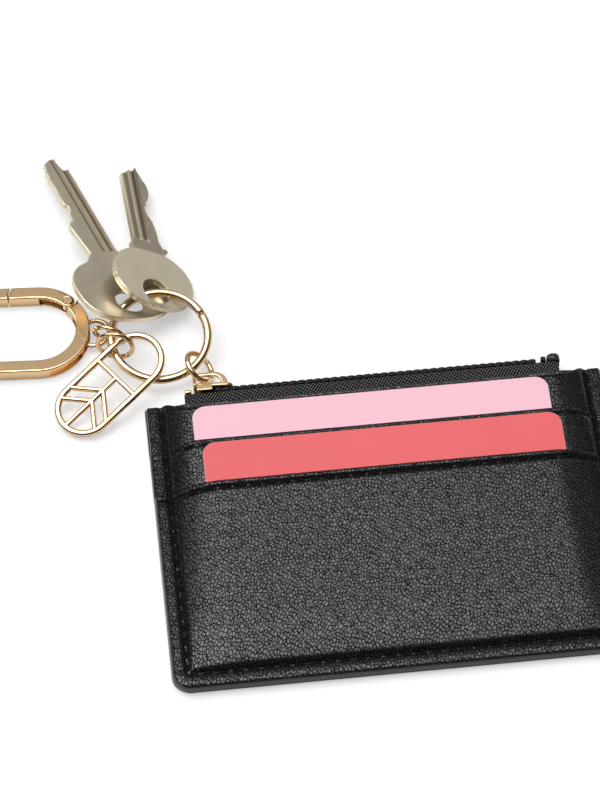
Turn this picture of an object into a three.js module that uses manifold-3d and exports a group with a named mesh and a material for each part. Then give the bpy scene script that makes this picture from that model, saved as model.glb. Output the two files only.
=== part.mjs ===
// Keychain card holder: a leather card case with a zip pocket.
// Its slider carries a key ring with keys, a charm and a clip.
// Millimetres. Origin at the centre of the case's back face.
// X runs along the zip, Y to the zip edge, Z out of the front.
import * as THREE from "three";
import { mergeVertices } from "three/addons/utils/BufferGeometryUtils.js";
import Module from "manifold-3d";

const wasm = await Module();
wasm.setup();

// Case: outline, hem and the thickness of each leather layer.
const CASE_WIDTH = 110;
const CASE_HEIGHT = 78;
const CASE_CORNER = 4;
const HEM = 3.5;
const BACK_THICK = 1.1;
const ZIP_PANEL_THICK = 0.7;
const UPPER_PANEL_THICK = 0.6;
const FRONT_PANEL_THICK = 0.8;
const LAYER_GAP = 0.1;
const POCKET_RISE = 4.6;
const RAMP_STEPS = 5;
const SIDE_RAMP = 6.6;
const UPPER_MOUTH_DROP = 13.7;
const FRONT_MOUTH_DROP = 26.2;

// Cards: the bank card size, and where each stands in its pocket.
const CARD_WIDTH = 85.6;
const CARD_HEIGHT = 53.98;
const CARD_THICK = 0.76;
const CARD_CORNER = 3.18;
const CARD_PLAY = 0.12;
const UPPER_CARD_X = -1.6;
const LOWER_CARD_X = -0.1;
const CARD_SIDE_PLAY = 0.5;
const CARD_SEAT = 5;
const UPPER_CARD_STEP = 11;

// Zip: lip strip, tapes, teeth, stops and slider.
const LIP_WIDTH = 1.3;
const LIP_SETBACK = 2.6;
const TAPE_THICK = 0.5;
const TAPE_WIDTH = 6.4;
const CHAIN_LEFT_INSET = 16.6;
const CHAIN_RIGHT_INSET = 14.6;
const CHAIN_THICK = 1.0;
const TOOTH_PITCH = 2.0;
const TOOTH_WIDTH = 0.64;
const TOOTH_MESH = 1.1;
const SPINE_HEIGHT = 0.9;
const SCALLOP = 0.3;
const STOP_LENGTH = 1.6;
const STOP_THICK = 0.9;
const TAB_LENGTH = 4.4;
const SLIDER_INSET = 16.5;
const SLIDER_LENGTH = 9.8;
const SLIDER_PLATE = 0.9;
const SLIDER_CLEAR = 0.4;
const SLIDER_RIM = 0.4;
const SLIDER_TAIL = 4.6;
const POST_WIDTH = 1.2;
const POST_LENGTH = 2.2;
const BRIDGE_REACH = 4.5;
const BRIDGE_BAR = 1.0;
const BRIDGE_LEG = 0.8;
const BRIDGE_LENGTH = 8.6;

// Rings: wire, mean radius and seam of each.
const SEAM = 0.16;
const RING_CLEAR = 0.3;
const LINK_RADIUS = 4.0;
const LINK_WIRE = 1.4;
const KEY_RING_RADIUS = 11.75;
const KEY_RING_WIRE = 2.1;
const KEY_RING_TILT = 9;
const SMALL_WIRE = 1.2;
const CHARM_RING_RADIUS = 4.3;
const CONNECTOR_RADIUS = 3.75;
const EYE_RING_RADIUS = 3.6;

// Places on the key ring, in degrees from its far point.
const LINK_AT = 225;
const FRONT_KEY_AT = 0;
const REAR_KEY_AT = 34;
const CONNECTOR_AT = 80;
const CHARM_RING_AT = 102;

// Keys: bow, reach from the hole to the tip, blade, and how each lies on the table.
const KEY_THICK = 1.5;
const KEY_HOLE = 3.8;
const FRONT_BOW_WIDTH = 22.4;
const FRONT_BOW_HEIGHT = 19;
const FRONT_BOW_SQUARE = 2.1;
const FRONT_KEY_REACH = 42;
const FRONT_BLADE = 7.4;
const FRONT_ASIDE = 2.8;
const FRONT_ROLL = 33;
const REAR_BOW_WIDTH = 25.4;
const REAR_BOW_HEIGHT = 21;
const REAR_BOW_SQUARE = 2.4;
const REAR_KEY_REACH = 51.8;
const REAR_BLADE = 9;
const REAR_ASIDE = 17.4;
const REAR_ROLL = 25;
const KEY_GROOVE = 0.4;
const KEY_NECK = 2.2;
const TIP_HEIGHT = 3.6;
const HOLE_FROM_BOW = 4.3;

// Charm: a stadium frame with an open loop end and a leaf in the other.
const CHARM_LENGTH = 31.4;
const CHARM_WIDTH = 14.5;
const CHARM_THICK = 1.6;
const CHARM_FRAME = 1.6;
const CHARM_RIB = 1.1;

// Clip: a flat oval bar with a sprung gate.
const CLIP_LENGTH = 50;
const CLIP_WIDTH = 25.2;
const CLIP_BAR = 3.4;
const CLIP_THICK = 3.6;
const CLIP_TURN = -3.4;
const CLIP_SLOT = 2.1;
const CLIP_PIN = 1.0;
const PIN_ANGLE = -8;
const RIVET_ANGLE = 47.7;
const RIVET_RADIUS = 0.75;
const GATE_TIP = -6.9;
const GATE_GAP = 0.35;
const TONGUE_THICK = 1.3;
const SPRING_THICK = 0.3;

const group = new THREE.Group();
group.name = "keychain_card_holder";

const rad = THREE.MathUtils.degToRad;
const v3 = (x, y, z) => new THREE.Vector3(x, y, z);
const leather = { color: 0x17181a, roughness: 0.55, metalness: 0 };
const fabric = { color: 0x0d0d0e, roughness: 0.9, metalness: 0 };
const gold = { color: 0xc9a879, roughness: 0.22, metalness: 1 };
const nickel = { color: 0xaaa493, roughness: 0.32, metalness: 1 };
const pinkCard = { color: 0xfacdd9, roughness: 0.5, metalness: 0 };
const coralCard = { color: 0xf3767a, roughness: 0.5, metalness: 0 };

function addPart(name, geometry, finish) {
  const mesh = new THREE.Mesh(geometry, new THREE.MeshStandardMaterial(finish));
  mesh.name = name;
  group.add(mesh);
}

// Booleans: a closed geometry to a solid and back.
function solid(geometry) {
  const bare = geometry.index ? geometry.toNonIndexed() : geometry.clone();
  bare.deleteAttribute("normal");
  bare.deleteAttribute("uv");
  const merged = mergeVertices(bare, 1e-4);
  return new wasm.Manifold(
    new wasm.Mesh({
      numProp: 3,
      vertProperties: new Float32Array(merged.attributes.position.array),
      triVerts: new Uint32Array(merged.index.array),
    }),
  );
}

function geometryOf(shape) {
  const mesh = shape.getMesh();
  const geometry = new THREE.BufferGeometry();
  geometry.setAttribute("position", new THREE.BufferAttribute(mesh.vertProperties, 3));
  geometry.setIndex(new THREE.BufferAttribute(mesh.triVerts, 1));
  return geometry;
}

function extrude(shape, depth, curveSegments = 6) {
  return new THREE.ExtrudeGeometry(shape, { depth, bevelEnabled: false, curveSegments });
}

function roundedRect(x0, y0, x1, y1, low, high) {
  const shape = new THREE.Shape();
  shape.moveTo(x0 + low, y0);
  shape.lineTo(x1 - low, y0);
  shape.absarc(x1 - low, y0 + low, low, -Math.PI / 2, 0);
  shape.lineTo(x1, y1 - high);
  shape.absarc(x1 - high, y1 - high, high, 0, Math.PI / 2);
  shape.lineTo(x0 + high, y1);
  shape.absarc(x0 + high, y1 - high, high, Math.PI / 2, Math.PI);
  shape.lineTo(x0, y0 + low);
  shape.absarc(x0 + low, y0 + low, low, Math.PI, Math.PI * 1.5);
  return shape;
}

function block(x0, x1, y0, y1, z0, z1) {
  const box = new THREE.BoxGeometry(x1 - x0, y1 - y0, z1 - z0);
  return box.translate((x0 + x1) / 2, (y0 + y1) / 2, (z0 + z1) / 2);
}

// A disc along Z, used for pins, rivets and round cuts.
function disc(x, y, radius, z0, z1, sides = 24) {
  const pin = new THREE.CylinderGeometry(radius, radius, z1 - z0, sides);
  return pin.rotateX(Math.PI / 2).translate(x, y, (z0 + z1) / 2);
}

// A frame of axes for a piece: its place, its own X and its own Z, in the case's frame.
function placed(origin, alongX, alongZ) {
  const z = alongZ.clone().normalize();
  const x = alongX.clone().addScaledVector(z, -alongX.dot(z)).normalize();
  const y = z.clone().cross(x);
  return new THREE.Matrix4().makeBasis(x, y, z).setPosition(origin);
}

// Leather case: each layer is a sheet pressed flat at the hem and raised over what lies below it.
const side = CASE_WIDTH / 2;
const foot = -CASE_HEIGHT / 2;
const head = CASE_HEIGHT / 2;
const hemX = side - HEM;
const cardSide = CARD_WIDTH / 2 + Math.max(Math.abs(UPPER_CARD_X), Math.abs(LOWER_CARD_X));
const sideRamp = Math.min(SIDE_RAMP, hemX - cardSide - CARD_SIDE_PLAY);
const flatX = hemX - sideRamp;
const hemY = foot + HEM;
const lipY = head - LIP_SETBACK;
const upperMouthY = head - UPPER_MOUTH_DROP;
const frontMouthY = head - FRONT_MOUTH_DROP;
const lowerFootY = hemY + CARD_SEAT;
const lowerCardTop = lowerFootY + CARD_PLAY + CARD_HEIGHT;
const upperCardTop = lowerCardTop + UPPER_CARD_STEP;
const pocket = CARD_THICK + 2 * CARD_PLAY;
const slope = POCKET_RISE / (lipY - hemY);
const ease = (t) => THREE.MathUtils.smoothstep(t, 0, 1);
const between = (v, low, high) => THREE.MathUtils.clamp((v - low) / (high - low), 0, 1);
const acrossX = (x) => ease(between(hemX - Math.abs(x), 0, sideRamp));
const room = (y) => Math.max(LAYER_GAP, pocket * ease(between(y, hemY, lowerFootY)));
const zipPanelFloor = (x, y) =>
  BACK_THICK + LAYER_GAP + slope * Math.max(0, Math.min(y, lipY) - hemY) * acrossX(x);
const upperFloor = (x, y) =>
  zipPanelFloor(x, y) + ZIP_PANEL_THICK + LAYER_GAP * (1 - acrossX(x)) +
  room(y) * acrossX(x);
const frontFloor = (x, y) =>
  upperFloor(x, y) + UPPER_PANEL_THICK + LAYER_GAP * (1 - acrossX(x)) +
  room(y) * acrossX(x);

function stations(edges, ramps) {
  const list = [...edges];
  for (const [a, b, count] of ramps)
    for (let i = 1; i < count; i++) list.push(a + ((b - a) * i) / count);
  return list.sort((a, b) => a - b);
}

const panelX = stations(
  [-side, -hemX, -flatX, flatX, hemX, side],
  [[-hemX, -flatX, RAMP_STEPS], [flatX, hemX, RAMP_STEPS]],
);
const lowY = stations([foot, hemY, lowerFootY], [[hemY, lowerFootY, RAMP_STEPS]]);

// A pressed sheet from a grid of stations, its floor height by a function, closed all round.
function pressedSheet(xs, ys, floorAt, thick, rowY = (x, y) => y) {
  const nx = xs.length;
  const ny = ys.length;
  const points = [];
  for (const lift of [0, thick])
    for (const y of ys)
      for (const x of xs) points.push(x, rowY(x, y), floorAt(x, y) + lift);
  const at = (i, j, top) => (top ? nx * ny : 0) + j * nx + i;
  const faces = [];
  const quad = (a, b, c, d) => faces.push(a, b, c, a, c, d);
  for (let j = 0; j < ny - 1; j++)
    for (let i = 0; i < nx - 1; i++) {
      quad(at(i, j, 1), at(i + 1, j, 1), at(i + 1, j + 1, 1), at(i, j + 1, 1));
      quad(at(i, j, 0), at(i, j + 1, 0), at(i + 1, j + 1, 0), at(i + 1, j, 0));
    }
  for (let i = 0; i < nx - 1; i++) {
    quad(at(i, 0, 0), at(i + 1, 0, 0), at(i + 1, 0, 1), at(i, 0, 1));
    quad(at(i + 1, ny - 1, 0), at(i, ny - 1, 0), at(i, ny - 1, 1), at(i + 1, ny - 1, 1));
  }
  for (let j = 0; j < ny - 1; j++) {
    quad(at(0, j + 1, 0), at(0, j, 0), at(0, j, 1), at(0, j + 1, 1));
    quad(at(nx - 1, j, 0), at(nx - 1, j + 1, 0), at(nx - 1, j + 1, 1), at(nx - 1, j, 1));
  }
  const geometry = new THREE.BufferGeometry();
  geometry.setAttribute("position", new THREE.Float32BufferAttribute(points, 3));
  geometry.setIndex(faces);
  return geometry;
}

const stackHeight = BACK_THICK + POCKET_RISE + 3 * pocket + 4;
const outline = solid(
  extrude(roundedRect(-side, foot, side, head, CASE_CORNER, CASE_CORNER / 3), 2 * stackHeight, 5),
).translate(0, 0, -stackHeight);
const trimmed = (sheet) => geometryOf(solid(sheet).intersect(outline));
const drawnBack = (x, y) => head - (head - y) * acrossX(x);
const panelEdge = lipY - LIP_WIDTH - LAYER_GAP;

const caseShape = roundedRect(-side, foot, side, head, CASE_CORNER, CASE_CORNER / 3);
addPart("back_panel", extrude(caseShape, BACK_THICK), leather);
addPart(
  "zip_panel",
  trimmed(
    pressedSheet(panelX, [...lowY, upperMouthY, panelEdge], zipPanelFloor, ZIP_PANEL_THICK,
      (x, y) => (y === panelEdge ? drawnBack(x, y) : y)),
  ),
  leather,
);
addPart(
  "upper_pocket",
  trimmed(pressedSheet(panelX, [...lowY, upperMouthY], upperFloor, UPPER_PANEL_THICK)),
  leather,
);
addPart(
  "front_pocket",
  trimmed(pressedSheet(panelX, [...lowY, frontMouthY], frontFloor, FRONT_PANEL_THICK)),
  leather,
);

// Cards: flat, parallel to the raised pockets, each with play on both faces.
const pitch = Math.atan(slope);
const panelLine = (y) => BACK_THICK + LAYER_GAP + slope * (y - hemY) + ZIP_PANEL_THICK;
function card(name, middleX, top, floorZ, finish) {
  const half = CARD_WIDTH / 2;
  const shape = roundedRect(-half, -CARD_HEIGHT, half, 0, CARD_CORNER, CARD_CORNER);
  const flat = extrude(shape, CARD_THICK, 4);
  flat.rotateX(pitch).translate(middleX, top, floorZ + CARD_PLAY);
  addPart(name, flat, finish);
}
card("card_upper", UPPER_CARD_X, upperCardTop, panelLine(upperCardTop), pinkCard);
const upperLine = panelLine(lowerCardTop) + pocket + UPPER_PANEL_THICK;
card("card_lower", LOWER_CARD_X, lowerCardTop, upperLine, coralCard);

// Zip: the lip strip binds the panel's top edge, and each tape is sewn to one wall of the pocket.
const chainLeft = -side + CHAIN_LEFT_INSET;
const chainRight = side - CHAIN_RIGHT_INSET;
const sliderX = -side + SLIDER_INSET;
const lipEnd = flatX + sideRamp * 0.6;
const lipX = panelX.filter((x) => Math.abs(x) < lipEnd + LAYER_GAP);
const tapeTop = zipPanelFloor(0, lipY) - LAYER_GAP;
const tapeLow = BACK_THICK + LAYER_GAP;
const chainTop = tapeTop + SCALLOP / 2;
const chainLow = tapeLow;
const chainMid = (chainTop + chainLow) / 2;
const tapeEdge = lipY + TAPE_WIDTH / 2;
const chainY = tapeEdge + LAYER_GAP;
const tapeLeft = sliderX - SLIDER_LENGTH / 2 - STOP_LENGTH - 0.7;
const tapeRight = chainRight + TAB_LENGTH;

addPart(
  "front_lip",
  pressedSheet(lipX, [panelEdge, lipY], (x) => zipPanelFloor(x, lipY), ZIP_PANEL_THICK,
    (x, y) => drawnBack(x, y) + (y === panelEdge ? LAYER_GAP : 0)),
  leather,
);
addPart(
  "zip_tape_front",
  pressedSheet([tapeLeft, ...panelX.filter((x) => x > tapeLeft && x < tapeRight), tapeRight],
    [tapeEdge - TAPE_WIDTH, lipY, tapeEdge],
    (x, y) => zipPanelFloor(x, y) - LAYER_GAP - TAPE_THICK - 2 * (1 - acrossX(x)), TAPE_THICK),
  fabric,
);
addPart("zip_tape_back",
  block(tapeLeft, tapeRight, tapeEdge - TAPE_WIDTH, tapeEdge, tapeLow, tapeLow + TAPE_THICK), fabric);

// A row of teeth: a scalloped spine with tapered teeth that mesh half a pitch off the other row.
function teethRow(shift) {
  const count = Math.floor((chainRight - chainLeft) / TOOTH_PITCH) - 1;
  const reach = (chainTop - chainLow) / 2 + TOOTH_MESH / 2;
  const shape = new THREE.Shape();
  const start = chainLeft;
  const end = start + (count + 1) * TOOTH_PITCH;
  shape.moveTo(start, SPINE_HEIGHT);
  for (let i = 0; i < count; i++) {
    const middle = start + (i + 0.75 + shift) * TOOTH_PITCH;
    shape.lineTo(middle - TOOTH_WIDTH * 0.65, SPINE_HEIGHT);
    shape.lineTo(middle - TOOTH_WIDTH * 0.5, reach);
    shape.lineTo(middle + TOOTH_WIDTH * 0.5, reach);
    shape.lineTo(middle + TOOTH_WIDTH * 0.65, SPINE_HEIGHT);
  }
  shape.lineTo(end, SPINE_HEIGHT);
  for (let i = count; i >= 0; i--) {
    const middle = start + (i + 0.5) * TOOTH_PITCH;
    shape.lineTo(middle + TOOTH_PITCH * 0.45, SCALLOP);
    shape.lineTo(middle + TOOTH_PITCH * 0.2, 0);
    shape.lineTo(middle - TOOTH_PITCH * 0.2, 0);
    shape.lineTo(middle - TOOTH_PITCH * 0.45, SCALLOP);
  }
  shape.closePath();
  return extrude(shape, CHAIN_THICK);
}
const upperRow = teethRow(0);
upperRow.rotateX(-Math.PI / 2).translate(0, chainY, chainTop);
addPart("zip_teeth_front", upperRow, fabric);
const lowerRow = teethRow(0.5);
lowerRow.rotateX(Math.PI / 2).translate(0, chainY + CHAIN_THICK, chainLow);
addPart("zip_teeth_back", lowerRow, fabric);

// Stops: folded metal clamps on the tape ends, and a block across the closed end.
const stopX = tapeLeft + 0.2;
const stopClamp = (name, z) =>
  addPart(name, geometryOf(
    solid(block(stopX, stopX + STOP_LENGTH, tapeEdge + LAYER_GAP, tapeEdge + LAYER_GAP + STOP_THICK,
      z - TAPE_THICK / 2 - 0.35, z + TAPE_THICK / 2 + 0.35)),
  ), gold);
stopClamp("top_stop_front", tapeTop - TAPE_THICK / 2);
stopClamp("top_stop_back", tapeLow + TAPE_THICK / 2);
const endBlock = block(chainRight + 0.3, chainRight + 1.5, chainY, chainY + CHAIN_THICK + 0.3,
  chainLow, chainTop + 0.3);
addPart("bottom_stop", endBlock, fabric);
const tabShape = roundedRect(chainRight + 1.8, chainLow, tapeRight + 0.6, chainTop + 0.5, 0.5, 1.6);
const tab = extrude(tabShape, CHAIN_THICK + 1, 5);
tab.rotateX(Math.PI / 2).translate(0, chainY + CHAIN_THICK + 1, 0);
addPart("zip_end_tab", tab, leather);

// Slider: an outer plate with side rims, a post between the tapes, an inner plate, and the bridge over it.
const sliderLeft = sliderX - SLIDER_LENGTH / 2;
const sliderRight = sliderX + SLIDER_LENGTH / 2;
const sliderHalf = (chainTop - chainLow) / 2 + SLIDER_RIM + RING_CLEAR;
const plateY = chainY + CHAIN_THICK + SLIDER_CLEAR;
const plateShape = new THREE.Shape();
plateShape.moveTo(sliderRight, -SLIDER_TAIL / 2 + 1);
plateShape.lineTo(sliderRight, SLIDER_TAIL / 2 - 1);
plateShape.quadraticCurveTo(sliderRight, SLIDER_TAIL / 2, sliderRight - 1, SLIDER_TAIL / 2);
plateShape.lineTo(sliderX, sliderHalf);
plateShape.lineTo(sliderLeft + 2, sliderHalf);
plateShape.quadraticCurveTo(sliderLeft, sliderHalf, sliderLeft, 0);
plateShape.quadraticCurveTo(sliderLeft, -sliderHalf, sliderLeft + 2, -sliderHalf);
plateShape.lineTo(sliderX, -sliderHalf);
plateShape.lineTo(sliderRight - 1, -SLIDER_TAIL / 2);
plateShape.quadraticCurveTo(sliderRight, -SLIDER_TAIL / 2, sliderRight, -SLIDER_TAIL / 2 + 1);
const upright = (geometry, y) => geometry.rotateX(Math.PI / 2).translate(0, y, chainMid);
const plate = solid(upright(extrude(plateShape, SLIDER_PLATE), plateY + SLIDER_PLATE));
const postX = chainLeft - RING_CLEAR - POST_LENGTH;
const innerY = tapeEdge - TAPE_THICK - SLIDER_PLATE - RING_CLEAR;
const innerHalf = (tapeTop - tapeLow) / 2 - TAPE_THICK - RING_CLEAR;
const post = solid(block(postX, postX + POST_LENGTH, innerY, plateY + 0.2,
  chainMid - POST_WIDTH / 2, chainMid + POST_WIDTH / 2));
const inner = solid(block(sliderLeft + 0.6, sliderRight - 0.6, innerY, innerY + SLIDER_PLATE,
  chainMid - innerHalf, chainMid + innerHalf));
const rimLength = SLIDER_LENGTH * 0.42;
const rim = (z0, z1) =>
  solid(block(sliderX - rimLength, sliderX - 0.3, chainY + 0.1, plateY + 0.2, z0, z1));
const rimTop = rim(chainMid + sliderHalf - SLIDER_RIM, chainMid + sliderHalf);
const rimLow = rim(chainMid - sliderHalf, chainMid - sliderHalf + SLIDER_RIM);
addPart("slider_body", geometryOf(plate.add(post).add(inner).add(rimTop).add(rimLow)), gold);

const bridgeLeft = sliderLeft + 0.1;
const bridgeFoot = plateY + SLIDER_PLATE + LAYER_GAP;
const bridgeShape = new THREE.Shape();
const bridgeOuter = bridgeFoot + BRIDGE_REACH;
const bridgeRight = bridgeLeft + BRIDGE_LENGTH;
bridgeShape.moveTo(bridgeLeft, bridgeFoot);
bridgeShape.lineTo(bridgeLeft + BRIDGE_LEG, bridgeFoot);
bridgeShape.lineTo(bridgeLeft + BRIDGE_LEG, bridgeOuter - BRIDGE_BAR - 0.6);
bridgeShape.quadraticCurveTo(bridgeLeft + BRIDGE_LEG, bridgeOuter - BRIDGE_BAR,
  bridgeLeft + BRIDGE_LEG + 0.6, bridgeOuter - BRIDGE_BAR);
bridgeShape.lineTo(bridgeRight - 3.4, bridgeOuter - BRIDGE_BAR);
bridgeShape.quadraticCurveTo(bridgeRight - 1.6, bridgeOuter - BRIDGE_BAR - 0.2,
  bridgeRight - 1.6, bridgeFoot);
bridgeShape.lineTo(bridgeRight, bridgeFoot);
bridgeShape.quadraticCurveTo(bridgeRight, bridgeOuter, bridgeRight - 3.6, bridgeOuter);
bridgeShape.lineTo(bridgeLeft + 1.2, bridgeOuter);
bridgeShape.quadraticCurveTo(bridgeLeft, bridgeOuter, bridgeLeft, bridgeOuter - 1.2);
bridgeShape.closePath();
const bridge = extrude(bridgeShape, BRIDGE_BAR, 4);
bridge.translate(0, 0, chainMid - BRIDGE_BAR / 2);
addPart("slider_bridge", bridge, gold);

// Rings: bent wire, butted at a seam. The seam lies on the stated side of the ring.
class Arc extends THREE.Curve {
  constructor(radius, gap) {
    super();
    this.radius = radius;
    this.gap = gap;
  }
  getPoint(t, target = new THREE.Vector3()) {
    const angle = this.gap / 2 + t * (2 * Math.PI - this.gap);
    return target.set(this.radius * Math.cos(angle), this.radius * Math.sin(angle), 0);
  }
}
function wireRing(radius, wire, frame, steps, sides) {
  const section = new THREE.Shape();
  section.absarc(0, 0, wire / 2, 0, 2 * Math.PI);
  const path = new Arc(radius, SEAM / radius);
  const bent = new THREE.ExtrudeGeometry(section, {
    steps, bevelEnabled: false, extrudePath: path, curveSegments: sides,
  });
  return bent.applyMatrix4(frame);
}

// Link ring: hangs on the bridge bar and leans to the key ring.
const linkNormal = v3(0.696, 0.072, 0.713).normalize();
const linkAxis = v3(0.537, -0.708, -0.453);
linkAxis.addScaledVector(linkNormal, -linkAxis.dot(linkNormal)).normalize();
const linkMiddle = v3(bridgeLeft + BRIDGE_LEG + 1.3, bridgeOuter - BRIDGE_BAR / 2 + 2.2, chainMid + 0.2);
const linkFrame = placed(linkMiddle, linkNormal.clone().cross(linkAxis), linkNormal);
addPart("link_ring", wireRing(LINK_RADIUS, LINK_WIRE, linkFrame, 32, 8), gold);

// Key ring: threaded through the link, its far side raised by the keys.
const keyHold = LINK_RADIUS - LINK_WIRE / 2 - (KEY_RING_WIRE / 2) * 1.3 - 2.6 * RING_CLEAR;
const keySpot = linkMiddle.clone().addScaledVector(linkAxis, -keyHold);
const tilt = rad(KEY_RING_TILT);
const farWay = v3(0, Math.cos(tilt), Math.sin(tilt));
const ringNormal = v3(0, -Math.sin(tilt), Math.cos(tilt));
const onRing = (degrees) =>
  v3(-Math.sin(rad(degrees)), 0, 0).addScaledVector(farWay, Math.cos(rad(degrees)));
const alongRing = (degrees) =>
  v3(Math.cos(rad(degrees)), 0, 0).addScaledVector(farWay, Math.sin(rad(degrees)));
const ringMiddle = keySpot.clone().addScaledVector(onRing(LINK_AT), -KEY_RING_RADIUS);
const ringPoint = (degrees) => ringMiddle.clone().addScaledVector(onRing(degrees), KEY_RING_RADIUS);
const ringFrame = placed(ringMiddle, onRing(285), ringNormal);
addPart("key_ring", wireRing(KEY_RING_RADIUS, KEY_RING_WIRE, ringFrame, 60, 8), gold);

// Keys: stamped plates with a rounded bow and hole, a blade cut on one edge, and milled grooves.
// Each cut is a run along the blade from the shoulder and how far its edge stands back there.
// A groove is a distance from the plain edge and a width. A hand of -1 puts the cuts on the other edge.
function keySolid(bow, reach, blade, stop, cuts, grooves, hand) {
  const middle = HOLE_FROM_BOW;
  const shoulder = middle + bow.height * 0.5 + KEY_NECK;
  const half = blade / 2;
  const neckHalf = half * 1.25;
  const power = 2 / bow.square;
  const swell = (value) => Math.sign(value) * Math.abs(value) ** power;
  const neck = Math.asin((neckHalf / (bow.width / 2)) ** (1 / power));
  const bowSteps = 44;
  const points = [];
  for (let i = 0; i <= bowSteps; i++) {
    const angle = Math.PI / 2 + neck + ((2 * Math.PI - 2 * neck) * i) / bowSteps;
    const x = (bow.width / 2) * swell(Math.cos(angle));
    points.push([x, middle + (bow.height / 2) * swell(Math.sin(angle))]);
  }
  if (stop > 0) {
    points.push([neckHalf + stop, shoulder - KEY_NECK * 0.6], [neckHalf + stop * 0.5, shoulder - 0.2]);
    points.push([neckHalf, shoulder - 0.6]);
  }
  const length = reach - shoulder;
  for (const [run, inset] of cuts) points.push([half - inset * blade, shoulder + run * length]);
  points.push([-half, shoulder + 0.8], [-neckHalf, shoulder - KEY_NECK * 0.4]);
  const outlinePoints = points.map(([x, y]) => new THREE.Vector2(hand * x, y));
  if (hand < 0) outlinePoints.reverse();
  const shape = new THREE.Shape(outlinePoints);
  const hole = new THREE.Path();
  hole.absarc(0, 0, KEY_HOLE, 0, 2 * Math.PI, true);
  shape.holes.push(hole);
  let body = solid(extrude(shape, KEY_THICK, 8)).translate(0, 0, -KEY_THICK / 2);
  for (const [from, width] of grooves)
    for (const face of [-1, 1]) {
      const level = (face * KEY_THICK) / 2;
      const x = hand * (from - half);
      const cutter = block(x - width / 2, x + width / 2, shoulder + 0.6, reach + 1,
        level - KEY_GROOVE, level + KEY_GROOVE);
      body = body.subtract(solid(cutter));
    }
  return geometryOf(body);
}
function keyFrame(at, tip, roll) {
  const along = tip.clone().sub(at).normalize();
  const level = v3(0, 0, 1).addScaledVector(along, -along.z).normalize();
  const across = along.clone().cross(level);
  const face = level.multiplyScalar(Math.cos(roll)).addScaledVector(across, Math.sin(roll));
  return new THREE.Matrix4().makeBasis(along.clone().cross(face), along, face).setPosition(at);
}
const frontSpot = ringPoint(FRONT_KEY_AT);
const rearSpot = ringPoint(REAR_KEY_AT);
const tipOf = (spot, aside, reach) => {
  const drop = spot.z - TIP_HEIGHT;
  return v3(spot.x - aside, spot.y + Math.sqrt(reach ** 2 - aside ** 2 - drop ** 2), TIP_HEIGHT);
};
const frontTip = tipOf(frontSpot, FRONT_ASIDE, FRONT_KEY_REACH);
const rearTip = tipOf(rearSpot, REAR_ASIDE, REAR_KEY_REACH);
const frontBow = { width: FRONT_BOW_WIDTH, height: FRONT_BOW_HEIGHT, square: FRONT_BOW_SQUARE };
const frontCuts = [
  [0.05, 0], [0.175, 0.01], [0.254, 0.05], [0.317, 0.1], [0.39, 0.25], [0.476, 0.32], [0.508, 0.19],
  [0.548, 0.22], [0.603, 0.11], [0.66, 0.03], [0.714, 0.01], [0.794, 0.05], [0.857, 0.18], [0.913, 0.25],
  [1, 0.4], [0.952, 0.54], [0.952, 0.67], [0.873, 1],
];
const frontGrooves = [[1.5, 1.5], [3.75, 1.3]];
const frontKey = keySolid(frontBow, FRONT_KEY_REACH, FRONT_BLADE, 1.4, frontCuts, frontGrooves, 1);
const frontPlace = keyFrame(frontSpot, frontTip, rad(FRONT_ROLL));
addPart("key_front", frontKey.applyMatrix4(frontPlace), nickel);
const rearBow = { width: REAR_BOW_WIDTH, height: REAR_BOW_HEIGHT, square: REAR_BOW_SQUARE };
const rearCuts = [
  [0, 0.14], [0.284, 0], [0.323, 0.06], [0.344, 0.21], [0.414, 0.22], [0.435, 0.3], [0.492, 0.3],
  [0.51, 0.22], [0.58, 0.21], [0.689, 0.24], [0.77, 0.21], [0.818, 0.25], [0.846, 0.23],
  [0.888, 0.3], [0.943, 0.34], [1, 0.62], [0.991, 0.73], [0.906, 0.77], [0.882, 0.86], [0.88, 1],
];
const rearGrooves = [[1.2, 1.2], [3.4, 0.8]];
const rearKey = keySolid(rearBow, REAR_KEY_REACH, REAR_BLADE, 0, rearCuts, rearGrooves, -1);
const rearPlace = keyFrame(rearSpot, rearTip, rad(REAR_ROLL));
addPart("key_rear", rearKey.applyMatrix4(rearPlace), nickel);

// Charm: leans from over the key ring down to the table at its leaf end.
const charmHigh = v3(ringMiddle.x - 6.5, ringMiddle.y - 7.5, ringMiddle.z + 1.35);
const charmAlong = v3(0.77, 0.582, 0.225).normalize();
const charmFace = v3(0, -0.14, 0.99);
const endRadius = CHARM_WIDTH / 2;
const span = CHARM_LENGTH - CHARM_WIDTH;
const charmLow = charmHigh.clone().addScaledVector(charmAlong, -span);
const stadium = (radius) => {
  const shape = new THREE.Shape();
  shape.absarc(span, 0, radius, -Math.PI / 2, Math.PI / 2);
  shape.absarc(0, 0, radius, Math.PI / 2, Math.PI * 1.5);
  return shape;
};
const charmPlate = solid(extrude(stadium(endRadius), CHARM_THICK, 10));
const charmHole = extrude(stadium(endRadius - CHARM_FRAME), CHARM_THICK + 2, 10);
const charmInside = solid(charmHole).translate(0, 0, -1);
const rib = (x0, x1, angle) => {
  const bar = block(x0, x1, -CHARM_RIB / 2, CHARM_RIB / 2, 0.1, CHARM_THICK - 0.1);
  return solid(bar.rotateZ(angle));
};
const loopRadius = endRadius - CHARM_FRAME;
let charm = charmPlate.subtract(charmInside);
const crossAt = span - loopRadius;
const crossBar = block(crossAt - CHARM_RIB, crossAt, -endRadius + 0.6, endRadius - 0.6, 0, CHARM_THICK);
charm = charm.add(solid(crossBar));
charm = charm.add(rib(-endRadius + 0.6, crossAt, 0));
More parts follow.
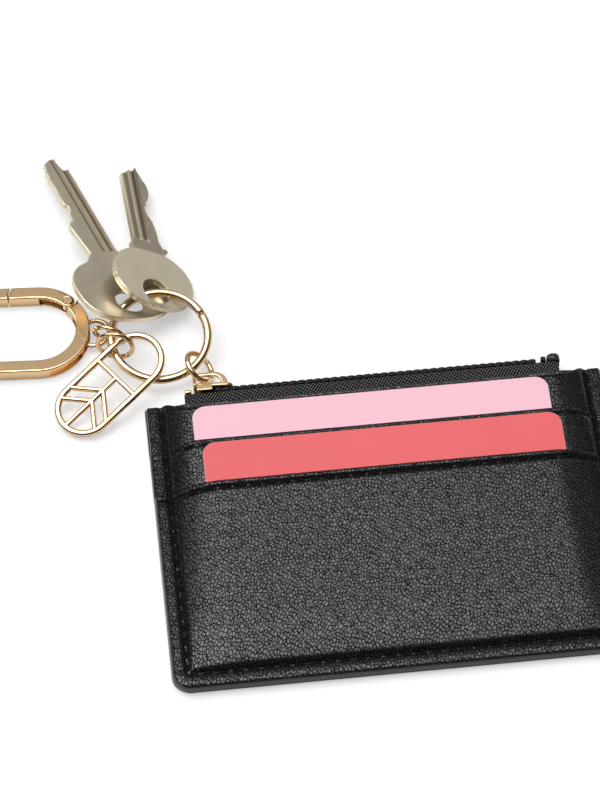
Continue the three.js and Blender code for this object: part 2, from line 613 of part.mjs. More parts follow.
for (const start of [-0.5, 3.2])
  for (const way of [-1, 1]) {
    const vein = block(0, loopRadius + 1.4, -CHARM_RIB / 2, CHARM_RIB / 2, 0.1, CHARM_THICK - 0.1);
    vein.rotateZ(way * rad(128)).translate(start + 3, 0, 0);
    charm = charm.add(solid(vein).intersect(charmPlate));
  }
const charmNormal = charmFace.clone().addScaledVector(charmAlong, -charmFace.dot(charmAlong));
const charmFrame = placed(charmLow, charmAlong, charmNormal);
const charmBody = geometryOf(charm).translate(0, 0, -CHARM_THICK / 2).applyMatrix4(charmFrame);
addPart("charm", charmBody, gold);

// A ring that links two wires: its plane holds both places and faces along the wires.
function linkingRing(name, a, b, facing, radius, wire, shift) {
  const across = b.clone().sub(a).normalize();
  const middle = a.clone().add(b).multiplyScalar(0.5).addScaledVector(across, shift);
  const normal = facing.clone().addScaledVector(across, -facing.dot(across));
  const frame = placed(middle, facing.clone().cross(across), normal);
  addPart(name, wireRing(radius, wire, frame, 30, 7), gold);
}
const charmHook = v3(span, endRadius - CHARM_FRAME / 2, 0).applyMatrix4(charmFrame);
const charmRingSpot = ringPoint(CHARM_RING_AT);
const charmRingFace = alongRing(CHARM_RING_AT).add(charmAlong);
linkingRing("charm_ring", charmRingSpot, charmHook, charmRingFace, CHARM_RING_RADIUS, SMALL_WIRE, 0.25);

// Clip: lies flat on the table, its right bend held by the eye ring on a pin in the bend's slot.
const clipTurn = rad(CLIP_TURN);
const bendMiddle = v3(ringMiddle.x - 29.2, ringMiddle.y + 6.8, 0);
const clipFrame = new THREE.Matrix4().makeRotationZ(clipTurn).setPosition(bendMiddle);
const bendOuter = CLIP_WIDTH / 2;
const bendInner = bendOuter - CLIP_BAR;
const bendMean = bendOuter - CLIP_BAR / 2;
const clipStraight = CLIP_LENGTH - CLIP_WIDTH;
const oval = (radius) => {
  const shape = new THREE.Shape();
  shape.absarc(0, 0, radius, -Math.PI / 2, Math.PI / 2);
  shape.absarc(-clipStraight, 0, radius, Math.PI / 2, Math.PI * 1.5);
  return shape;
};
const bar = solid(extrude(oval(bendOuter), CLIP_THICK, 14)).subtract(
  solid(extrude(oval(bendInner), CLIP_THICK + 2, 14)).translate(0, 0, -1),
);
const rivetX = bendMean * Math.cos(rad(RIVET_ANGLE));
const rivetY = bendMean * Math.sin(rad(RIVET_ANGLE));
const knuckle = CLIP_BAR / 2;
const midZ = CLIP_THICK / 2;

// The part of the bar that the gate takes: from the rivet round to its tip.
// The tip's face is an arc about the rivet.
const gateReach = Math.hypot(rivetX - GATE_TIP, bendMean - rivetY);
const wedgeShape = (grow) => {
  const shape = new THREE.Shape();
  shape.moveTo(-bendOuter, 0);
  shape.lineTo(0, 0);
  const reach = bendOuter * 1.6;
  shape.lineTo(reach * Math.cos(rad(RIVET_ANGLE)), reach * Math.sin(rad(RIVET_ANGLE)));
  shape.lineTo(-bendOuter, reach);
  shape.closePath();
  const swept = solid(disc(rivetX, rivetY, gateReach + grow, -1, CLIP_THICK + 1, 48));
  return solid(extrude(shape, CLIP_THICK + 2)).translate(0, 0, -1).intersect(swept);
};
const knuckleCut = solid(disc(rivetX, rivetY, knuckle + GATE_GAP, -1, CLIP_THICK + 1));
const slotLow = midZ - CLIP_SLOT / 2;
const slotHigh = midZ + CLIP_SLOT / 2;
const sector = (from, to, inside, outside, z0, z1) => {
  const shape = new THREE.Shape();
  shape.absarc(0, 0, outside, rad(from), rad(to), false);
  shape.absarc(0, 0, inside, rad(to), rad(from), true);
  return solid(extrude(shape, z1 - z0, 12)).translate(0, 0, z0);
};
const ringSlot = sector(-77, 24, bendInner - 1, bendOuter + 1, slotLow, slotHigh);
const tongueLow = midZ - TONGUE_THICK / 2;
const tongueHigh = midZ + TONGUE_THICK / 2;
const tongueArm = sector(26, RIVET_ANGLE, bendMean - 1.2, bendMean + 1.2, tongueLow, tongueHigh);
const tongueEye = solid(disc(rivetX, rivetY, 1.45, tongueLow, tongueHigh));
const rivetHole = solid(disc(rivetX, rivetY, RIVET_RADIUS + 0.2, -1, CLIP_THICK + 1));
const frameBar = bar.subtract(wedgeShape(GATE_GAP)).subtract(knuckleCut).subtract(ringSlot);
const pinRadius = bendOuter - CLIP_PIN / 2 - 0.35;
const pinX = pinRadius * Math.cos(rad(PIN_ANGLE));
const pinY = pinRadius * Math.sin(rad(PIN_ANGLE));
const pinFoot = 0.5;
const pinHole = solid(disc(pinX, pinY, CLIP_PIN / 2 + 0.1, pinFoot - 0.1, CLIP_THICK - pinFoot + 0.1, 16));
const clipBody = frameBar.add(tongueArm).add(tongueEye).subtract(rivetHole).subtract(pinHole);
addPart("clip_frame", geometryOf(clipBody).applyMatrix4(clipFrame), gold);
const pin = disc(pinX, pinY, CLIP_PIN / 2, pinFoot, CLIP_THICK - pinFoot, 16);
addPart("clip_pin", pin.applyMatrix4(clipFrame), gold);

const gateBar = bar.intersect(wedgeShape(0)).add(solid(disc(rivetX, rivetY, knuckle, 0, CLIP_THICK)));
const forkGap = (CLIP_SLOT + 0.1 - TONGUE_THICK) / 2;
const forkCut = solid(disc(rivetX, rivetY, knuckle + 0.6, tongueLow - forkGap, tongueHigh + forkGap));
const springCut = sector(RIVET_ANGLE, 88, bendInner - 1, bendMean + 0.2,
  tongueLow - forkGap, tongueHigh + forkGap);
const gateBody = gateBar.subtract(forkCut).subtract(springCut).subtract(rivetHole);
addPart("clip_gate", geometryOf(gateBody).applyMatrix4(clipFrame), gold);
const rivet = disc(rivetX, rivetY, RIVET_RADIUS, 0.1, CLIP_THICK + 0.15, 20);
addPart("gate_rivet", rivet.applyMatrix4(clipFrame), gold);
const spring = sector(RIVET_ANGLE + 10, 84, bendMean - 0.25 - SPRING_THICK, bendMean - 0.25,
  midZ - 0.45, midZ + 0.45);
addPart("gate_spring", geometryOf(spring).applyMatrix4(clipFrame), nickel);

// Eye ring: lies in the slot round the pin, rising to the connector ring.
const pinSpot = v3(pinX, pinY, midZ).applyMatrix4(clipFrame);
const eyeWay = v3(0.97, 0.22, 0.13).normalize();
const eyeHold = EYE_RING_RADIUS - SMALL_WIRE / 2 - CLIP_PIN / 2 - RING_CLEAR;
const eyeMiddle = pinSpot.clone().addScaledVector(eyeWay, eyeHold);
const eyeNormal = v3(0, 0, 1).addScaledVector(eyeWay, -eyeWay.z).normalize();
const eyeFrame = placed(eyeMiddle, v3(0, 1, 0), eyeNormal);
addPart("eye_ring", wireRing(EYE_RING_RADIUS, SMALL_WIRE, eyeFrame, 30, 7), gold);

const connectorSpot = ringPoint(CONNECTOR_AT);
const toKeyRing = connectorSpot.clone().sub(eyeMiddle);
toKeyRing.addScaledVector(eyeNormal, -toKeyRing.dot(eyeNormal)).normalize();
const eyeSpot = eyeMiddle.clone().addScaledVector(toKeyRing, EYE_RING_RADIUS);
const eyeTangent = eyeNormal.clone().cross(toKeyRing);
const ringTangent = alongRing(CONNECTOR_AT);
if (eyeTangent.dot(ringTangent) < 0) eyeTangent.negate();
const connectorFace = eyeTangent.clone().add(ringTangent).normalize();
linkingRing("connector_ring", connectorSpot, eyeSpot, connectorFace, CONNECTOR_RADIUS, SMALL_WIRE,
  (SMALL_WIRE - KEY_RING_WIRE) / 4);

export default group;
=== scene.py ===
import math

import bmesh
import bpy
from mathutils import Matrix, Vector


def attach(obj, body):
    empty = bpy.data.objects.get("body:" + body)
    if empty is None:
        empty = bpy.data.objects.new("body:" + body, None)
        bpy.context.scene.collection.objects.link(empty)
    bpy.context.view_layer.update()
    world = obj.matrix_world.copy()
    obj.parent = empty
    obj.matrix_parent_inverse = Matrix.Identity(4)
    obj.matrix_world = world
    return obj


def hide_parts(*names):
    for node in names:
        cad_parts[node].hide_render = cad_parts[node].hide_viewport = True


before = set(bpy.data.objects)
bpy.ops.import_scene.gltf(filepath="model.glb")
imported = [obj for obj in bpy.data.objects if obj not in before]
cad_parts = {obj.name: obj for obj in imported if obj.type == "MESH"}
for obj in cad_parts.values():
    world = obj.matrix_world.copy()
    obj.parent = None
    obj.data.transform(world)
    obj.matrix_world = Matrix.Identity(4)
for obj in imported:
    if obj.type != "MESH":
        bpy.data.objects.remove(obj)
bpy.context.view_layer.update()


# Back of the case: one panel of pebbled leather that every other layer is sewn to.
# It is cut to the outline with round lower corners, and a seam set in from the edge
# presses a groove into it on three sides. The pressed sides slant in a little towards the front.
MM = 0.001
CASE_SIDE = 55.0
CASE_FOOT = -39.0
CASE_HEAD = 39.0
LOW_CORNER = 4.0
HEM = 3.5
BACK_THICK = 1.1
LAYER_GAP = 0.1
SEAM_INSET = 3.3
SEAM_DEPTH = 0.85
HEM_SIDE = 0.45
PANEL_SIDE = 0.95
STITCH_PITCH = 3.5
SIDE_SLANT = 0.23
SLANT_LEVEL = 2.0
PULL_EVEN = 0.88
PULL_WAVE = 0.12
EDGE_DROP = 0.20
EDGE_ROUND = 0.5
HEM_SWELL = 0.06
SWELL_INSET = 1.5
SWELL_WIDTH = 0.9
PUCKER = 0.35
PUCKER_SHIFT = 2.6
BACK_PULL = 0.6
LEATHER_TOP = (0.012, 0.012, 0.012)
# The colour for the creases is painted shade between the pebbles.
LEATHER_CREASE_SHADE = (0.002, 0.002, 0.002)
PEBBLE = 0.8
WRINKLES = 2.3
GRAIN_TURN = math.radians(55)
GRAIN_DRAW = (1.25, 0.85, 1.0)
WARP_SCALE = 1300.0
WARP_REACH = 0.0006


class Value:
    """A socket of a node tree: sums and products of values add Math nodes to the tree."""

    def __init__(self, tree, socket=None):
        self.tree = tree
        self.socket = socket

    def node(self, kind, settings=None, inputs=None, out=0):
        made = self.tree.nodes.new("ShaderNode" + kind)
        for key, value in (settings or {}).items():
            setattr(made, key, value)
        for key, value in (inputs or {}).items():
            self.plug(made.inputs[key], value)
        return Value(self.tree, made.outputs[out])

    def plug(self, socket, value):
        if isinstance(value, Value):
            self.tree.links.new(value.socket, socket)
        elif socket.type == "RGBA" and len(value) == 3:
            socket.default_value = (*value, 1)
        else:
            socket.default_value = value

    def math(self, operation, *others):
        return self.node("Math", {"operation": operation}, dict(enumerate((self, *others))))

    def __add__(self, other):
        return self.math("ADD", other)

    def __sub__(self, other):
        return self.math("SUBTRACT", other)

    def __mul__(self, other):
        return self.math("MULTIPLY", other)

    def __truediv__(self, other):
        return self.math("DIVIDE", other)

    def __rsub__(self, other):
        return (self * -1.0).math("ADD", other)

    __radd__ = __add__
    __rmul__ = __mul__

    def ramp(self, low, high):
        settings = {"interpolation_type": "SMOOTHSTEP"}
        return self.node("MapRange", settings, {"Value": self, "From Min": low, "From Max": high})

    def mix(self, none, full):
        return self.node("Mix", {"data_type": "RGBA"}, {0: self, 6: none, 7: full}, out=2)

    def along(self, way):
        return self.node("VectorMath", {"operation": "DOT_PRODUCT"}, {0: self, 1: way}, out="Value")

    def noise(self, size, detail=2.0, rough=0.5):
        inputs = {"Vector": self, "Scale": 1.0 / (size * MM), "Detail": detail, "Roughness": rough}
        return self.node("TexNoise", None, inputs)

    def bump(self, height, strength=1.0):
        return self.node("Bump", None, {"Height": self, "Distance": height * MM, "Strength": strength})


def new_finish(name):
    """A new material, the wrapper of its tree, and the place in the object as a value."""
    finish = bpy.data.materials.new(name)
    finish.use_nodes = True
    tree = Value(finish.node_tree)
    return finish, tree, tree.node("TexCoord", out="Object")


def set_surface(finish, sockets):
    shader = finish.node_tree.nodes["Principled BSDF"]
    for key, value in sockets.items():
        Value(finish.node_tree).plug(shader.inputs[key], value)


def pebbled_leather(name, top, crease_shade, pebble, relief, rough):
    """Domed pebbles with finer wrinkles on them, glossy on top, with painted shade darkening the creases.
    """
    finish, tree, place = new_finish(name)
    sway = place.noise(6.0, 1.0)
    drawn = {"Vector": place, "Rotation": (0, 0, GRAIN_TURN), "Scale": GRAIN_DRAW}
    grain = tree.node("Mapping", {"vector_type": "TEXTURE"}, drawn)
    warp = tree.node("TexNoise", None, {"Vector": grain, "Scale": WARP_SCALE, "Detail": 2.0}, out="Color")
    shift = tree.node("VectorMath", {"operation": "SCALE"}, {0: warp, "Scale": WARP_REACH})
    grain = tree.node("VectorMath", {"operation": "ADD"}, {0: grain, 1: shift})
    cells = {"Vector": grain, "Scale": 1.0 / (pebble * MM)}
    to_edge = {"voronoi_dimensions": "2D", "feature": "DISTANCE_TO_EDGE"}
    edge = tree.node("TexVoronoi", to_edge, cells)
    shade = tree.node("TexVoronoi", {"voronoi_dimensions": "2D"}, cells, out="Color")
    shade = shade.along((1 / 3, 1 / 3, 1 / 3))
    folds = {"Vector": grain, "Scale": WRINKLES / (pebble * MM)}
    wrinkle = tree.node("TexVoronoi", to_edge, folds).ramp(0.0, 0.16)
    pores = place.noise(0.22, 2.0, 0.6)
    strain = place.noise(1.6, 1.0).ramp(0.36, 0.56)
    dome = edge.ramp(0.0, 0.42)
    # Painted shade: the creases and wrinkle edges are coloured darker than the pebble tops; the cell and
    # sway tones vary at random.
    open_top = 1.0 - (1.0 - edge.ramp(0.04, 0.36)) * (0.84 + strain * 0.16)
    tone = open_top * (0.75 + wrinkle * 0.25) * (0.8 + shade * 0.25) * (0.8 + sway * 0.4)
    height = dome * (0.8 + shade * 0.4) + wrinkle * 0.22 + pores * 0.3 + sway * 0.4
    set_surface(finish, {
        "Base Color": tone.mix(crease_shade, top),
        "Roughness": rough + (1.0 - open_top) * 0.4 + pores * 0.1,
        "Specular IOR Level": 0.12,
        "Coat Weight": open_top * (0.84 + wrinkle * 0.16),
        "Coat IOR": 1.60,
        "Coat Roughness": 0.22,
        "Normal": height.bump(relief),
    })
    return finish


leather = pebbled_leather("pebbled_leather", LEATHER_TOP, LEATHER_CREASE_SHADE, PEBBLE, 0.24, 0.34)


def spread(start, *runs):
    """Places from a start through each run's end, about a step apart."""
    places = [start]
    for end, step in runs:
        first = places[-1]
        count = max(1, round(abs(end - first) / step))
        places += [first + (end - first) * (i + 1) / count for i in range(count)]
    return places


def ease(value):
    """From 0 to 1, slow at both ends."""
    value = min(1.0, max(0.0, value))
    return value * value * (3 - 2 * value)


def bell(value, width):
    """One at 0, and fading to both sides."""
    return math.exp(-((value / width) ** 2))


def rounded(drop, reach, depth):
    """How much of a cut edge is rounded away at a depth inside it."""
    return drop * (1 - ease(depth / reach))


def edge_depth(x, y):
    """How far a place is inside the sewn edges."""
    return min(CASE_SIDE - abs(x), y - CASE_FOOT)


def turn_corner(x, y):
    """Moves a place of the square grid onto the round lower corners."""
    over = abs(x) - (CASE_SIDE - LOW_CORNER)
    under = CASE_FOOT + LOW_CORNER - y
    if over <= 0 or under <= 0:
        return x, y
    share = max(over, under) / math.hypot(over, under)
    return math.copysign(CASE_SIDE - LOW_CORNER + over * share, x), CASE_FOOT + LOW_CORNER - under * share


def lean(value):
    """From 0 to 1, fast at first and slow at the end."""
    value = min(1.0, max(0.0, value))
    return 1 - (1 - value) ** 2


def seam_wave(x, y, shift=0.0):
    """Rises and falls once a stitch along the nearest seam."""
    run = y if CASE_SIDE - abs(x) < y - CASE_FOOT else x
    return math.cos(2 * math.pi * run / STITCH_PITCH + shift)


def seam_pull(x, y):
    """How deep the stitches press the leather in."""
    depth = edge_depth(x, y)
    pull = PULL_EVEN - PULL_WAVE * seam_wave(x, y)
    return SEAM_DEPTH * pull * bell(depth - SEAM_INSET, PANEL_SIDE if depth > SEAM_INSET else HEM_SIDE)


def hem_round(x, y, share):
    """The hem's shape: round at the edge, swollen, and pulled in at the seam."""
    depth = edge_depth(x, y)
    pucker = 1 + PUCKER * seam_wave(x, y, PUCKER_SHIFT)
    swell = HEM_SWELL * pucker * bell(depth - SWELL_INSET, SWELL_WIDTH)
    return swell - rounded(EDGE_DROP, EDGE_ROUND, depth) - share * seam_pull(x, y)


def slant(x, level):
    """How far the pressed side stands in at a height, fading out towards the seam."""
    near = 1 - ease((CASE_SIDE - abs(x)) / SEAM_INSET)
    return math.copysign(SIDE_SLANT * (level - SLANT_LEVEL) * near, x)


def sewn_sheet(columns, rows, floor, top):
    """A leather sheet as a grid of places, with a height for its under face and its upper face."""
    bm = bmesh.new()
    bmesh.ops.create_grid(bm, x_segments=len(columns) - 1, y_segments=len(rows) - 1, size=1)
    for vert in bm.verts:
        column = round((vert.co.x + 1) / 2 * (len(columns) - 1))
        row = round((vert.co.y + 1) / 2 * (len(rows) - 1))
        vert.co = (columns[column], rows[row], 0)
    under = bm.verts[:]
    made = bmesh.ops.extrude_face_region(bm, geom=bm.faces[:], use_keep_orig=True)["geom"]
    upper = [item for item in made if isinstance(item, bmesh.types.BMVert)]
    for face_verts, height in ((under, floor), (upper, top)):
        for vert in face_verts:
            x, y = vert.co.x, vert.co.y
            level = height(x, y)
            turned_x, turned_y = turn_corner(x, y)
            vert.co = (turned_x - slant(x, level), turned_y, level)
    bmesh.ops.recalc_face_normals(bm, faces=bm.faces)
    return bm


def add_piece(name, bm, finish, body, slot, *nodes):
    """Turns a mesh in millimetres into a piece on a body, in place of the named nodes."""
    bmesh.ops.scale(bm, vec=(MM, MM, MM), verts=bm.verts)
    for face in bm.faces:
        face.smooth = True
    mesh = bpy.data.meshes.new(name)
    bm.to_mesh(mesh)
    bm.free()
    mesh.materials.append(finish)
    piece = bpy.data.objects.new(name, mesh)
    bpy.context.scene.collection.objects.link(piece)
    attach(piece, body)
    for node in nodes:
        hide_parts(node)
    return piece


RIM_STEP = 0.18
HEM_STEP = 0.28
RAMP_STEP = 0.6
FLAT_STEP = 0.9
RIM_X = 54.1
HEM_END_X = 49.6
FLAT_X = 44.0
RIM_Y = -38.1
HEM_END_Y = -33.6
FLAT_Y = -29.0
HEAD_RIM_Y = 37.6
side_columns = spread(-CASE_SIDE, (-RIM_X, RIM_STEP), (-HEM_END_X, HEM_STEP), (-FLAT_X, RAMP_STEP),
                      (FLAT_X, FLAT_STEP), (HEM_END_X, RAMP_STEP), (RIM_X, HEM_STEP), (CASE_SIDE, RIM_STEP))
foot_rows = spread(CASE_FOOT, (RIM_Y, RIM_STEP), (HEM_END_Y, HEM_STEP), (FLAT_Y, RAMP_STEP))
back_rows = foot_rows + spread(FLAT_Y, (HEAD_RIM_Y, FLAT_STEP), (CASE_HEAD, HEM_STEP))[1:]


def back_under(x, y):
    side_edge = rounded(0.4, 1.0, edge_depth(x, y))
    top_edge = rounded(0.3, 0.8, CASE_HEAD - y)
    return BACK_PULL * seam_pull(x, y) + side_edge + top_edge


def back_upper(x, y):
    return BACK_THICK - rounded(0.12, 0.6, edge_depth(x, y))


back = sewn_sheet(side_columns, back_rows, back_under, back_upper)
add_piece("back_leather", back, leather, "case", "leather", "back_panel")


# Zip panel: the front wall of the zip pocket, of the same leather and thinner.
# Flat at the hem, it rises towards the zip, and its top corners are drawn down to the back.
HEM_X = CASE_SIDE - HEM
HEM_Y = CASE_FOOT + HEM
SIDE_RAMP = 6.6
POCKET_RISE = 4.6
LIP_Y = 36.4
LIP_WIDTH = 1.3
ZIP_THICK = 0.7
PANEL_EDGE = LIP_Y - LIP_WIDTH - LAYER_GAP
UPPER_MOUTH = 25.3
FRONT_MOUTH = 12.8
HEM_LIFT = 0.1
LIFT_RUN = 13.0
COVERED = 3.0
COVER_FADE = 2.5
SIDE_REACH = 8.6
FREE_Y = 22.0


def across(x):
    """Zero on the side hems and one between them."""
    return ease((HEM_X - abs(x)) / SIDE_RAMP)


def zip_floor(x, y):
    rise = POCKET_RISE / (LIP_Y - HEM_Y) * max(0.0, min(y, LIP_Y) - HEM_Y)
    return BACK_THICK + LAYER_GAP + rise * across(x)


def drawn_back(x, y):
    """The height on the case of a zip edge, which runs up to the corners at both ends."""
    return CASE_HEAD - (CASE_HEAD - y) * across(x)


def bend(x, y, level, lift, reach, shown):
    """The outer face of a layer: level at the hem, and bent softly up to the cards where it shows."""
    inside = y - HEM_Y
    rise = POCKET_RISE / (LIP_Y - HEM_Y) * max(0.0, min(inside, LIP_Y - HEM_Y))
    rise += lift * (HEM_LIFT * lean(inside) + (1 - HEM_LIFT) * lean(inside / LIFT_RUN))
    soft = lean((HEM_X - abs(x)) / reach)
    open_share = ease((y - shown + COVERED) / COVER_FADE)
    return level + rise * (across(x) + (soft - across(x)) * open_share)


def zip_upper(x, y):
    level = BACK_THICK + LAYER_GAP + ZIP_THICK
    return bend(x, y, level, 0.0, SIDE_REACH, UPPER_MOUTH) + hem_round(x, y, 0.6)


zip_rows = foot_rows + spread(FLAT_Y, (FREE_Y, 1.2), (PANEL_EDGE, 0.5))[1:]
zip_wall = sewn_sheet(side_columns, zip_rows, zip_floor, zip_upper)
for vert in zip_wall.verts:
    pull = ease((vert.co.y - FREE_Y) / (PANEL_EDGE - FREE_Y))
    vert.co.y += (drawn_back(vert.co.x, PANEL_EDGE) - PANEL_EDGE) * pull
add_piece("zip_leather", zip_wall, leather, "case", "leather", "zip_panel")


# Card pockets: two layers in front of the zip panel, each with its upper edge turned and stitched.
# The hem holds them flat on three sides, and the cards lift them clear in the middle.
UPPER_THICK = 0.6
FRONT_THICK = 0.8
CARD_ROOM = 1.0
CARD_FOOT = -30.5
UPPER_FOLD = 1.5
FRONT_FOLD = 2.0
FRONT_REACH = 12.0
LEAST_THICK = 0.15
FOLD_SWELL_INSET = 0.8
FOLD_SWELL_WIDTH = 0.7
FOLD_DROP = 0.32
FOLD_ROUND = 0.7
GROOVE_WIDTH = 0.42
GROOVE_EVEN = 0.78
GROOVE_WAVE = 0.22
UPPER_GROOVE = 0.36
UPPER_SWELL = 0.04
FRONT_GROOVE = 0.55
FRONT_SWELL = 0.28


def room(y):
    """The space that a card takes above the foot."""
    return max(LAYER_GAP, CARD_ROOM * ease((y - HEM_Y) / (CARD_FOOT - HEM_Y)))


def upper_floor(x, y):
    lift = LAYER_GAP * (1 - across(x)) + room(y) * across(x)
    return zip_floor(x, y) + ZIP_THICK + lift


def front_floor(x, y):
    lift = LAYER_GAP * (1 - across(x)) + room(y) * across(x)
    return upper_floor(x, y) + UPPER_THICK + lift


def turned_edge(below, run, inset, depth, full):
    """The swell of a turned edge, its round lip and the stitched groove that holds it."""
    swell = full * bell(below - FOLD_SWELL_INSET, FOLD_SWELL_WIDTH)
    pull = GROOVE_EVEN + GROOVE_WAVE * math.cos(2 * math.pi * run / STITCH_PITCH)
    groove = depth * pull * bell(below - inset, GROOVE_WIDTH)
    return swell - rounded(FOLD_DROP, FOLD_ROUND, below) - groove


def upper_top(x, y):
    level = BACK_THICK + 2 * LAYER_GAP + ZIP_THICK + UPPER_THICK
    fold = turned_edge(UPPER_MOUTH - y, x, UPPER_FOLD, UPPER_GROOVE, UPPER_SWELL)
    lift = CARD_ROOM - LAYER_GAP
    return bend(x, y, level, lift, SIDE_REACH, FRONT_MOUTH) + hem_round(x, y, 0.75) + fold


def front_top(x, y):
    level = BACK_THICK + 3 * LAYER_GAP + ZIP_THICK + UPPER_THICK + FRONT_THICK
    wave = 0.05 * math.sin(x / 15.0 + 1.1) * math.sin(y / 9.0 + 0.4) * across(x)
    fold = turned_edge(FRONT_MOUTH - y, x, FRONT_FOLD, FRONT_GROOVE, FRONT_SWELL)
    lift = 2 * (CARD_ROOM - LAYER_GAP)
    return bend(x, y, level, lift, FRONT_REACH, CASE_FOOT) + hem_round(x, y, 1.0) + fold + wave


def upper_under(x, y):
    return upper_floor(x, y) - 0.25 * seam_pull(x, y)


def front_under(x, y):
    return min(front_floor(x, y), front_top(x, y) - LEAST_THICK)


def pocket_rows(mouth):
    return foot_rows + spread(FLAT_Y, (mouth - 4.0, FLAT_STEP), (mouth - 0.9, 0.24), (mouth, 0.15))[1:]


upper_sheet = sewn_sheet(side_columns, pocket_rows(UPPER_MOUTH), upper_under, upper_top)
add_piece("upper_pocket_leather", upper_sheet, leather, "case", "leather", "upper_pocket")
front_sheet = sewn_sheet(side_columns, pocket_rows(FRONT_MOUTH), front_under, front_top)
add_piece("front_pocket_leather", front_sheet, leather, "case", "leather", "front_pocket")


# Painted edge: the cut edges of all the layers are pressed together and sealed with black edge paint.
# It runs down both sides and along the foot, a little proud of the leather, and steps up with the layers.
EDGE_LOW = 0.35
EDGE_HIGH = 3.15
EDGE_PROUD = 0.22
ONE_LAYER_LESS = 0.8
TWO_LAYERS_LESS = 1.5
EDGE_STEP = 1.0
LAYER_STEP = 0.1
CORNER_STEPS = 8
PAINT_DARK = (0.022, 0.022, 0.020)
PAINT_LIGHT = (0.040, 0.040, 0.036)
BAND_PROFILE = ((-0.5, 0.0), (0.05, 0.08), (0.8, 0.3), (1.0, 0.65), (0.75, 0.92), (0.05, 1.0), (-0.5, 1.0))
edge_paint, _, edge_place = new_finish("edge_paint")
edge_mottle = edge_place.noise(2.4, 3.0)
set_surface(edge_paint, {
    "Base Color": edge_mottle.mix(PAINT_DARK, PAINT_LIGHT),
    "Roughness": 0.16 + edge_mottle * 0.16,
    "Specular IOR Level": 0.50,
    "Normal": (edge_mottle + edge_place.noise(0.5) * 0.4).bump(0.06),
})


def edge_height(y):
    if y < FRONT_MOUTH:
        return EDGE_HIGH
    return EDGE_HIGH - (ONE_LAYER_LESS if y < UPPER_MOUTH else TWO_LAYERS_LESS)


def outline_places():
    """Points down the left side, along the foot and up the right side, each with its outward way."""
    side = spread(CASE_HEAD - 0.4,
                  (UPPER_MOUTH + LAYER_STEP, EDGE_STEP), (UPPER_MOUTH - LAYER_STEP, LAYER_STEP),
                  (FRONT_MOUTH + LAYER_STEP, EDGE_STEP), (FRONT_MOUTH - LAYER_STEP, LAYER_STEP),
                  (CASE_FOOT + LOW_CORNER, EDGE_STEP))
    places = [(-CASE_SIDE, y, -1.0, 0.0) for y in side]
    for step in range(1, CORNER_STEPS):
        turn = math.pi * (1 + step / (2 * CORNER_STEPS))
        out = (math.cos(turn), math.sin(turn))
        places.append((-CASE_SIDE + LOW_CORNER + LOW_CORNER * out[0],
                       CASE_FOOT + LOW_CORNER + LOW_CORNER * out[1], *out))
    foot = spread(-CASE_SIDE + LOW_CORNER, (0.0, 2.0))
    places += [(x, CASE_FOOT, 0.0, -1.0) for x in foot]
    return places + [(-x, y, -out_x, out_y) for x, y, out_x, out_y in places[-2::-1]]


outline = outline_places()
edge_band = bmesh.new()
bmesh.ops.create_grid(edge_band, x_segments=len(outline) - 1, y_segments=len(BAND_PROFILE) - 1, size=1)
for vert in edge_band.verts:
    x, y, out_x, out_y = outline[round((vert.co.x + 1) / 2 * (len(outline) - 1))]
    proud, share = BAND_PROFILE[round((vert.co.y + 1) / 2 * (len(BAND_PROFILE) - 1))]
    reach = EDGE_PROUD * proud
    level = EDGE_LOW + (edge_height(y) - EDGE_LOW) * share
    inward = SIDE_SLANT * (level - SLANT_LEVEL) * out_x
    vert.co = (x + out_x * reach - inward, y + out_y * reach, level)
bmesh.ops.recalc_face_normals(edge_band, faces=edge_band.faces)
add_piece("painted_edge", edge_band, edge_paint, "case", "leather")


# Stitching: black waxed thread in a lock stitch, set down in the groove of the hem and of the pocket edges.
# Each stitch is a round length of thread, a little askew, that dips into its holes at both ends.
THREAD = 0.72
STITCH_LENGTH = 3.9
STITCH_SKEW = math.radians(6)
STITCH_RISE = 0.04
FOLD_RISE = 0.10
BACK_LEVEL = BACK_PULL * SEAM_DEPTH - 0.12
SIDE_STITCHES = 21
FOOT_STITCHES = 30
MOUTH_STITCHES = 27
THREAD_DARK = (0.002, 0.002, 0.002)
THREAD_LIGHT = (0.006, 0.006, 0.006)
thread_black, _, thread_place = new_finish("waxed_thread")
twist = thread_place.along((900.0, 900.0, 0.0)).math("SINE")
thread_tone = thread_place.noise(0.6)
set_surface(thread_black, {
    "Base Color": thread_tone.mix(THREAD_DARK, THREAD_LIGHT),
    "Roughness": 0.6 + thread_tone * 0.2,
    "Specular IOR Level": 0.10,
    "Normal": (twist * 5.0).math("SINE").bump(0.05),
})


def sew(bm, place, way):
    """One stitch at a place along a way."""
    turn = math.atan2(way[1], way[0]) + STITCH_SKEW
    size = Matrix.Diagonal((STITCH_LENGTH, THREAD, THREAD, 1.0))
    lying = size @ Matrix.Rotation(math.pi / 2, 4, "Y")
    stitch = Matrix.Translation(place) @ Matrix.Rotation(turn, 4, "Z") @ lying
    bmesh.ops.create_uvsphere(bm, u_segments=6, v_segments=8, radius=0.5, matrix=stitch)


def layer_top(x, y):
    """The outermost leather face at a place."""
    if y < FRONT_MOUTH:
        return front_top(x, y)
    return upper_top(x, y) if y < UPPER_MOUTH else zip_upper(x, y)


